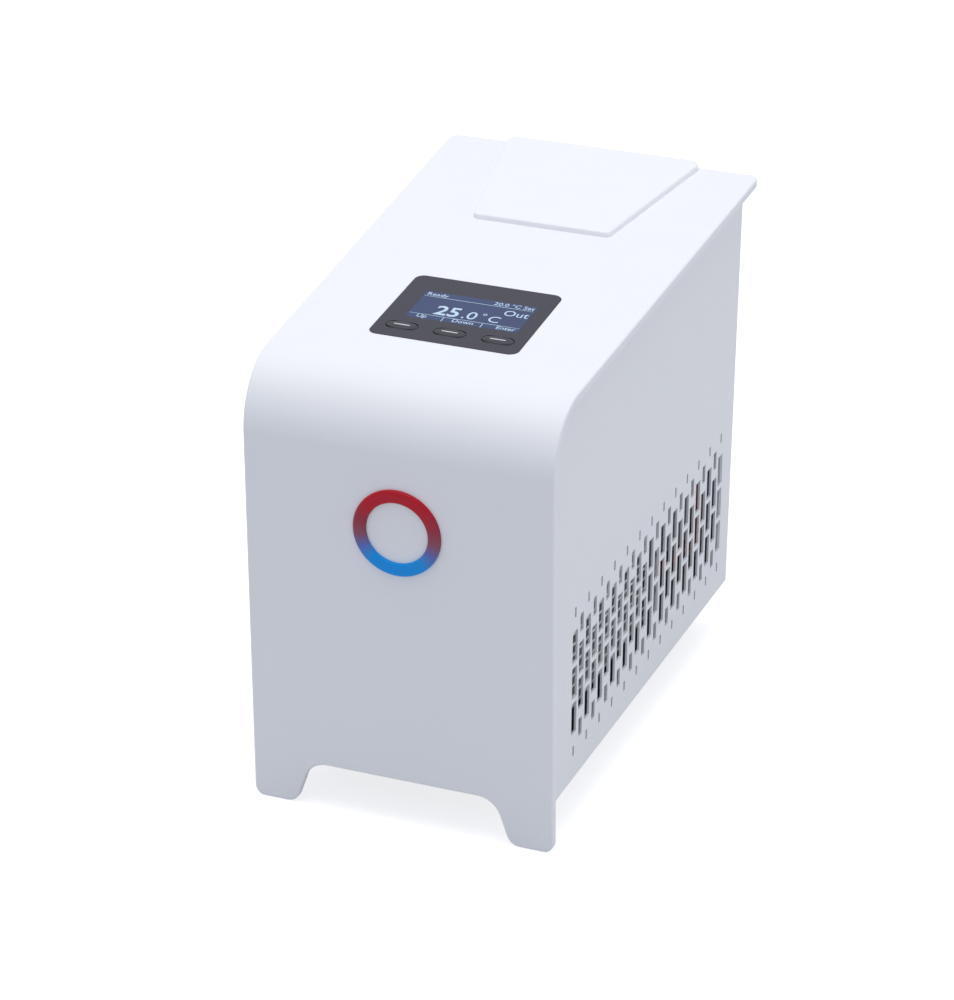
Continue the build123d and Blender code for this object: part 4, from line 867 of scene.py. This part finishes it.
class CIRCULATOR_OT_electrics(bpy.types.Operator):
    """Finishes the boards, the supply, the inlet, the switch and the interface"""

    bl_idname = "circulator.electrics"
    bl_label = "Electrics"

    def execute(self, context):
        boards = circuit_board("board lacquer", screen(30, 96, 58))
        dress(boards, flat=["display_board", "control_board"])
        black = moulded("inlet plastic", screen(26, 26, 28), 0.42)
        sockets = ["mains_inlet", "mains_switch_frame", "mains_rocker", "interface_socket"]
        dress(black, sockets)
        case = zinc_coat("supply case", screen(170, 172, 176))
        dress(case, flat=["power_supply"])
        dress(moulded("frame plastic", screen(32, 32, 34), 0.5), ["display_module"])
        return {"FINISHED"}


class CIRCULATOR_OT_fasteners(bpy.types.Operator):
    """Finishes the screws, pillars, nuts, feet, block stands and drain cap"""

    bl_idname = "circulator.fasteners"
    bl_label = "Fasteners and feet"

    def execute(self, context):
        steel = brushed("screw steel", screen(196, 198, 202), 0.28, (1.0, 1.0, 1.0))
        dress(steel, ["cabinet_screws", "shelf_nuts", "clamp_bolts", "board_pillars"])
        dark = moulded("foot plastic", screen(40, 40, 42), 0.55)
        dress(dark, ["rear_feet", "foot_pads", "block_stands", "drain_cap"])
        return {"FINISHED"}


def camera_matrix(studio):
    """The camera's place and turn: it looks down at the object from its azimuth and elevation."""
    azimuth, elevation, roll = studio.azimuth, studio.elevation, studio.roll
    position = Vector(CAMERA_PLACE)
    back = Vector((
        math.sin(azimuth) * math.cos(elevation),
        -math.cos(azimuth) * math.cos(elevation),
        math.sin(elevation),
    ))
    right = (-back).cross(Vector(UP)).normalized()
    up_view = right.cross(-back)
    turned_right = right * math.cos(roll) + up_view * math.sin(roll)
    turned_up = up_view * math.cos(roll) - right * math.sin(roll)
    turned = Matrix((turned_right, turned_up, back)).transposed().to_4x4()
    return Matrix.Translation(position) @ turned


def soft_lamp(name, power, colour, size, place, aim):
    """A square soft lamp at a place, turned to a point."""
    light = bpy.data.lights.new(name, "AREA")
    light.energy = power
    light.color = colour
    light.size = size
    lamp = bpy.data.objects.new(name, light)
    lamp.location = place
    lamp.rotation_euler = (Vector(aim) - Vector(place)).to_track_quat("-Z", "Y").to_euler()
    bpy.context.scene.collection.objects.link(lamp)


def white_to_the_eye(nodes):
    """1 for the rays that see the ground behind the object: camera, mirror and glass rays."""
    path = nodes.add("ShaderNodeLightPath")
    seen = Number(nodes, path.outputs["Is Camera Ray"])
    glossy = seen.or_more(path.outputs["Is Glossy Ray"])
    return glossy.or_more(path.outputs["Is Transmission Ray"])


def studio_sky(studio):
    """Even light from all sides, seen as plain white."""
    world = bpy.data.worlds.new("studio sky")
    bpy.context.scene.world = world
    world.use_nodes = True
    nodes = Nodes(world.node_tree)
    world.node_tree.nodes.clear()
    light_values = {"Color": opaque(studio.sky_colour), "Strength": studio.sky}
    light = nodes.add("ShaderNodeBackground", {}, light_values)
    white = nodes.add("ShaderNodeBackground", {}, {"Color": WHITE, "Strength": 1.0})
    factor = white_to_the_eye(nodes)
    mix = nodes.add("ShaderNodeMixShader", {}, [factor, light.outputs[0], white.outputs[0]])
    nodes.add("ShaderNodeOutputWorld", {}, [mix.outputs[0]])


def studio_floor(studio):
    """A wide pale floor that shows white and keeps the object's shadow."""
    half = FLOOR_HALF
    mesh = bpy.data.meshes.new("floor")
    corners = [(-half, -half, 0.0), (half, -half, 0.0), (half, half, 0.0), (-half, half, 0.0)]
    mesh.from_pydata(corners, [], [(0, 1, 2, 3)])
    floor = bpy.data.objects.new("floor", mesh)
    bpy.context.scene.collection.objects.link(floor)
    material = bpy.data.materials.new("floor paint")
    material.use_nodes = True
    material.node_tree.nodes.clear()
    nodes = Nodes(material.node_tree)
    matt = nodes.add("ShaderNodeBsdfDiffuse", {}, {"Color": opaque(studio.floor)})
    lift = nodes.add("ShaderNodeEmission", {}, {"Color": WHITE, "Strength": studio.floor_lift})
    raised = nodes.add("ShaderNodeAddShader", {}, [matt.outputs[0], lift.outputs[0]])
    factor = white_to_the_eye(nodes)
    mix = nodes.add("ShaderNodeMixShader", {}, [factor, matt.outputs[0], raised.outputs[0]])
    nodes.add("ShaderNodeOutputMaterial", {}, [mix.outputs[0]])
    mesh.materials.append(material)


class CIRCULATOR_OT_studio(bpy.types.Operator):
    """Sets the camera, the floor and the soft light"""

    bl_idname = "circulator.studio"
    bl_label = "Studio"

    def execute(self, context):
        scene = context.scene
        studio = scene.circulator_studio
        lens = bpy.data.cameras.new("view")
        lens.lens = studio.lens
        lens.sensor_width = SENSOR_WIDTH
        lens.clip_start = NEAREST_SEEN
        camera = bpy.data.objects.new("view", lens)
        camera.matrix_world = camera_matrix(studio)
        scene.collection.objects.link(camera)
        scene.camera = camera
        colour = tuple(studio.lamp_colour)
        soft_lamp("overhead lamp", studio.lamp, colour, OVERHEAD_SIZE, OVERHEAD_PLACE, OVERHEAD_AIM)
        soft_lamp("right lamp", studio.fill, colour, FILL_SIZE, FILL_PLACE, FILL_AIM)
        studio_sky(studio)
        studio_floor(studio)
        scene.view_settings.view_transform = "Standard"
        return {"FINISHED"}


class CIRCULATOR_PT_panel(bpy.types.Panel):
    """Lists the circulator's pieces and settings"""

    bl_label = "Laboratory circulator"
    bl_idname = "CIRCULATOR_PT_panel"
    bl_space_type = "VIEW_3D"
    bl_region_type = "UI"
    bl_category = "Circulator"

    def draw(self, context):
        for operator in OPERATORS:
            self.layout.operator(operator.bl_idname)
        for group in SETTINGS:
            settings = getattr(context.scene, group)
            for name in settings.__annotations__:
                self.layout.prop(settings, name)


OPERATORS = (
    CIRCULATOR_OT_studio,
    CIRCULATOR_OT_cover,
    CIRCULATOR_OT_panels,
    CIRCULATOR_OT_ring,
    CIRCULATOR_OT_display,
    CIRCULATOR_OT_keys,
    CIRCULATOR_OT_chassis,
    CIRCULATOR_OT_tank,
    CIRCULATOR_OT_cooling,
    CIRCULATOR_OT_fan,
    CIRCULATOR_OT_hoses,
    CIRCULATOR_OT_fittings,
    CIRCULATOR_OT_electrics,
    CIRCULATOR_OT_fasteners,
)
SETTINGS = {
    "circulator_colours": CabinetColours,
    "circulator_print": PrintSizes,
    "circulator_studio": StudioSettings,
}
CLASSES = (*SETTINGS.values(), *OPERATORS, CIRCULATOR_PT_panel)


def register():
    """Registers the settings, the operators and the panel."""
    for member in CLASSES:
        bpy.utils.register_class(member)
    for name, group in SETTINGS.items():
        setattr(bpy.types.Scene, name, bpy.props.PointerProperty(type=group))


def unregister():
    """Takes everything back that register added."""
    for name in SETTINGS:
        delattr(bpy.types.Scene, name)
    for member in reversed(CLASSES):
        bpy.utils.unregister_class(member)


def run_operator(operator):
    """Calls an operator by its name, and stops the script if it didn't finish."""
    group, name = operator.bl_idname.split(".")
    result = getattr(getattr(bpy.ops, group), name)()
    if "FINISHED" not in result:
        raise RuntimeError(operator.bl_label + " could not be made")


def main():
    """Builds the whole scene."""
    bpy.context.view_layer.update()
    register()
    for operator in OPERATORS:
        run_operator(operator)


if __name__ == "__main__":
    main()
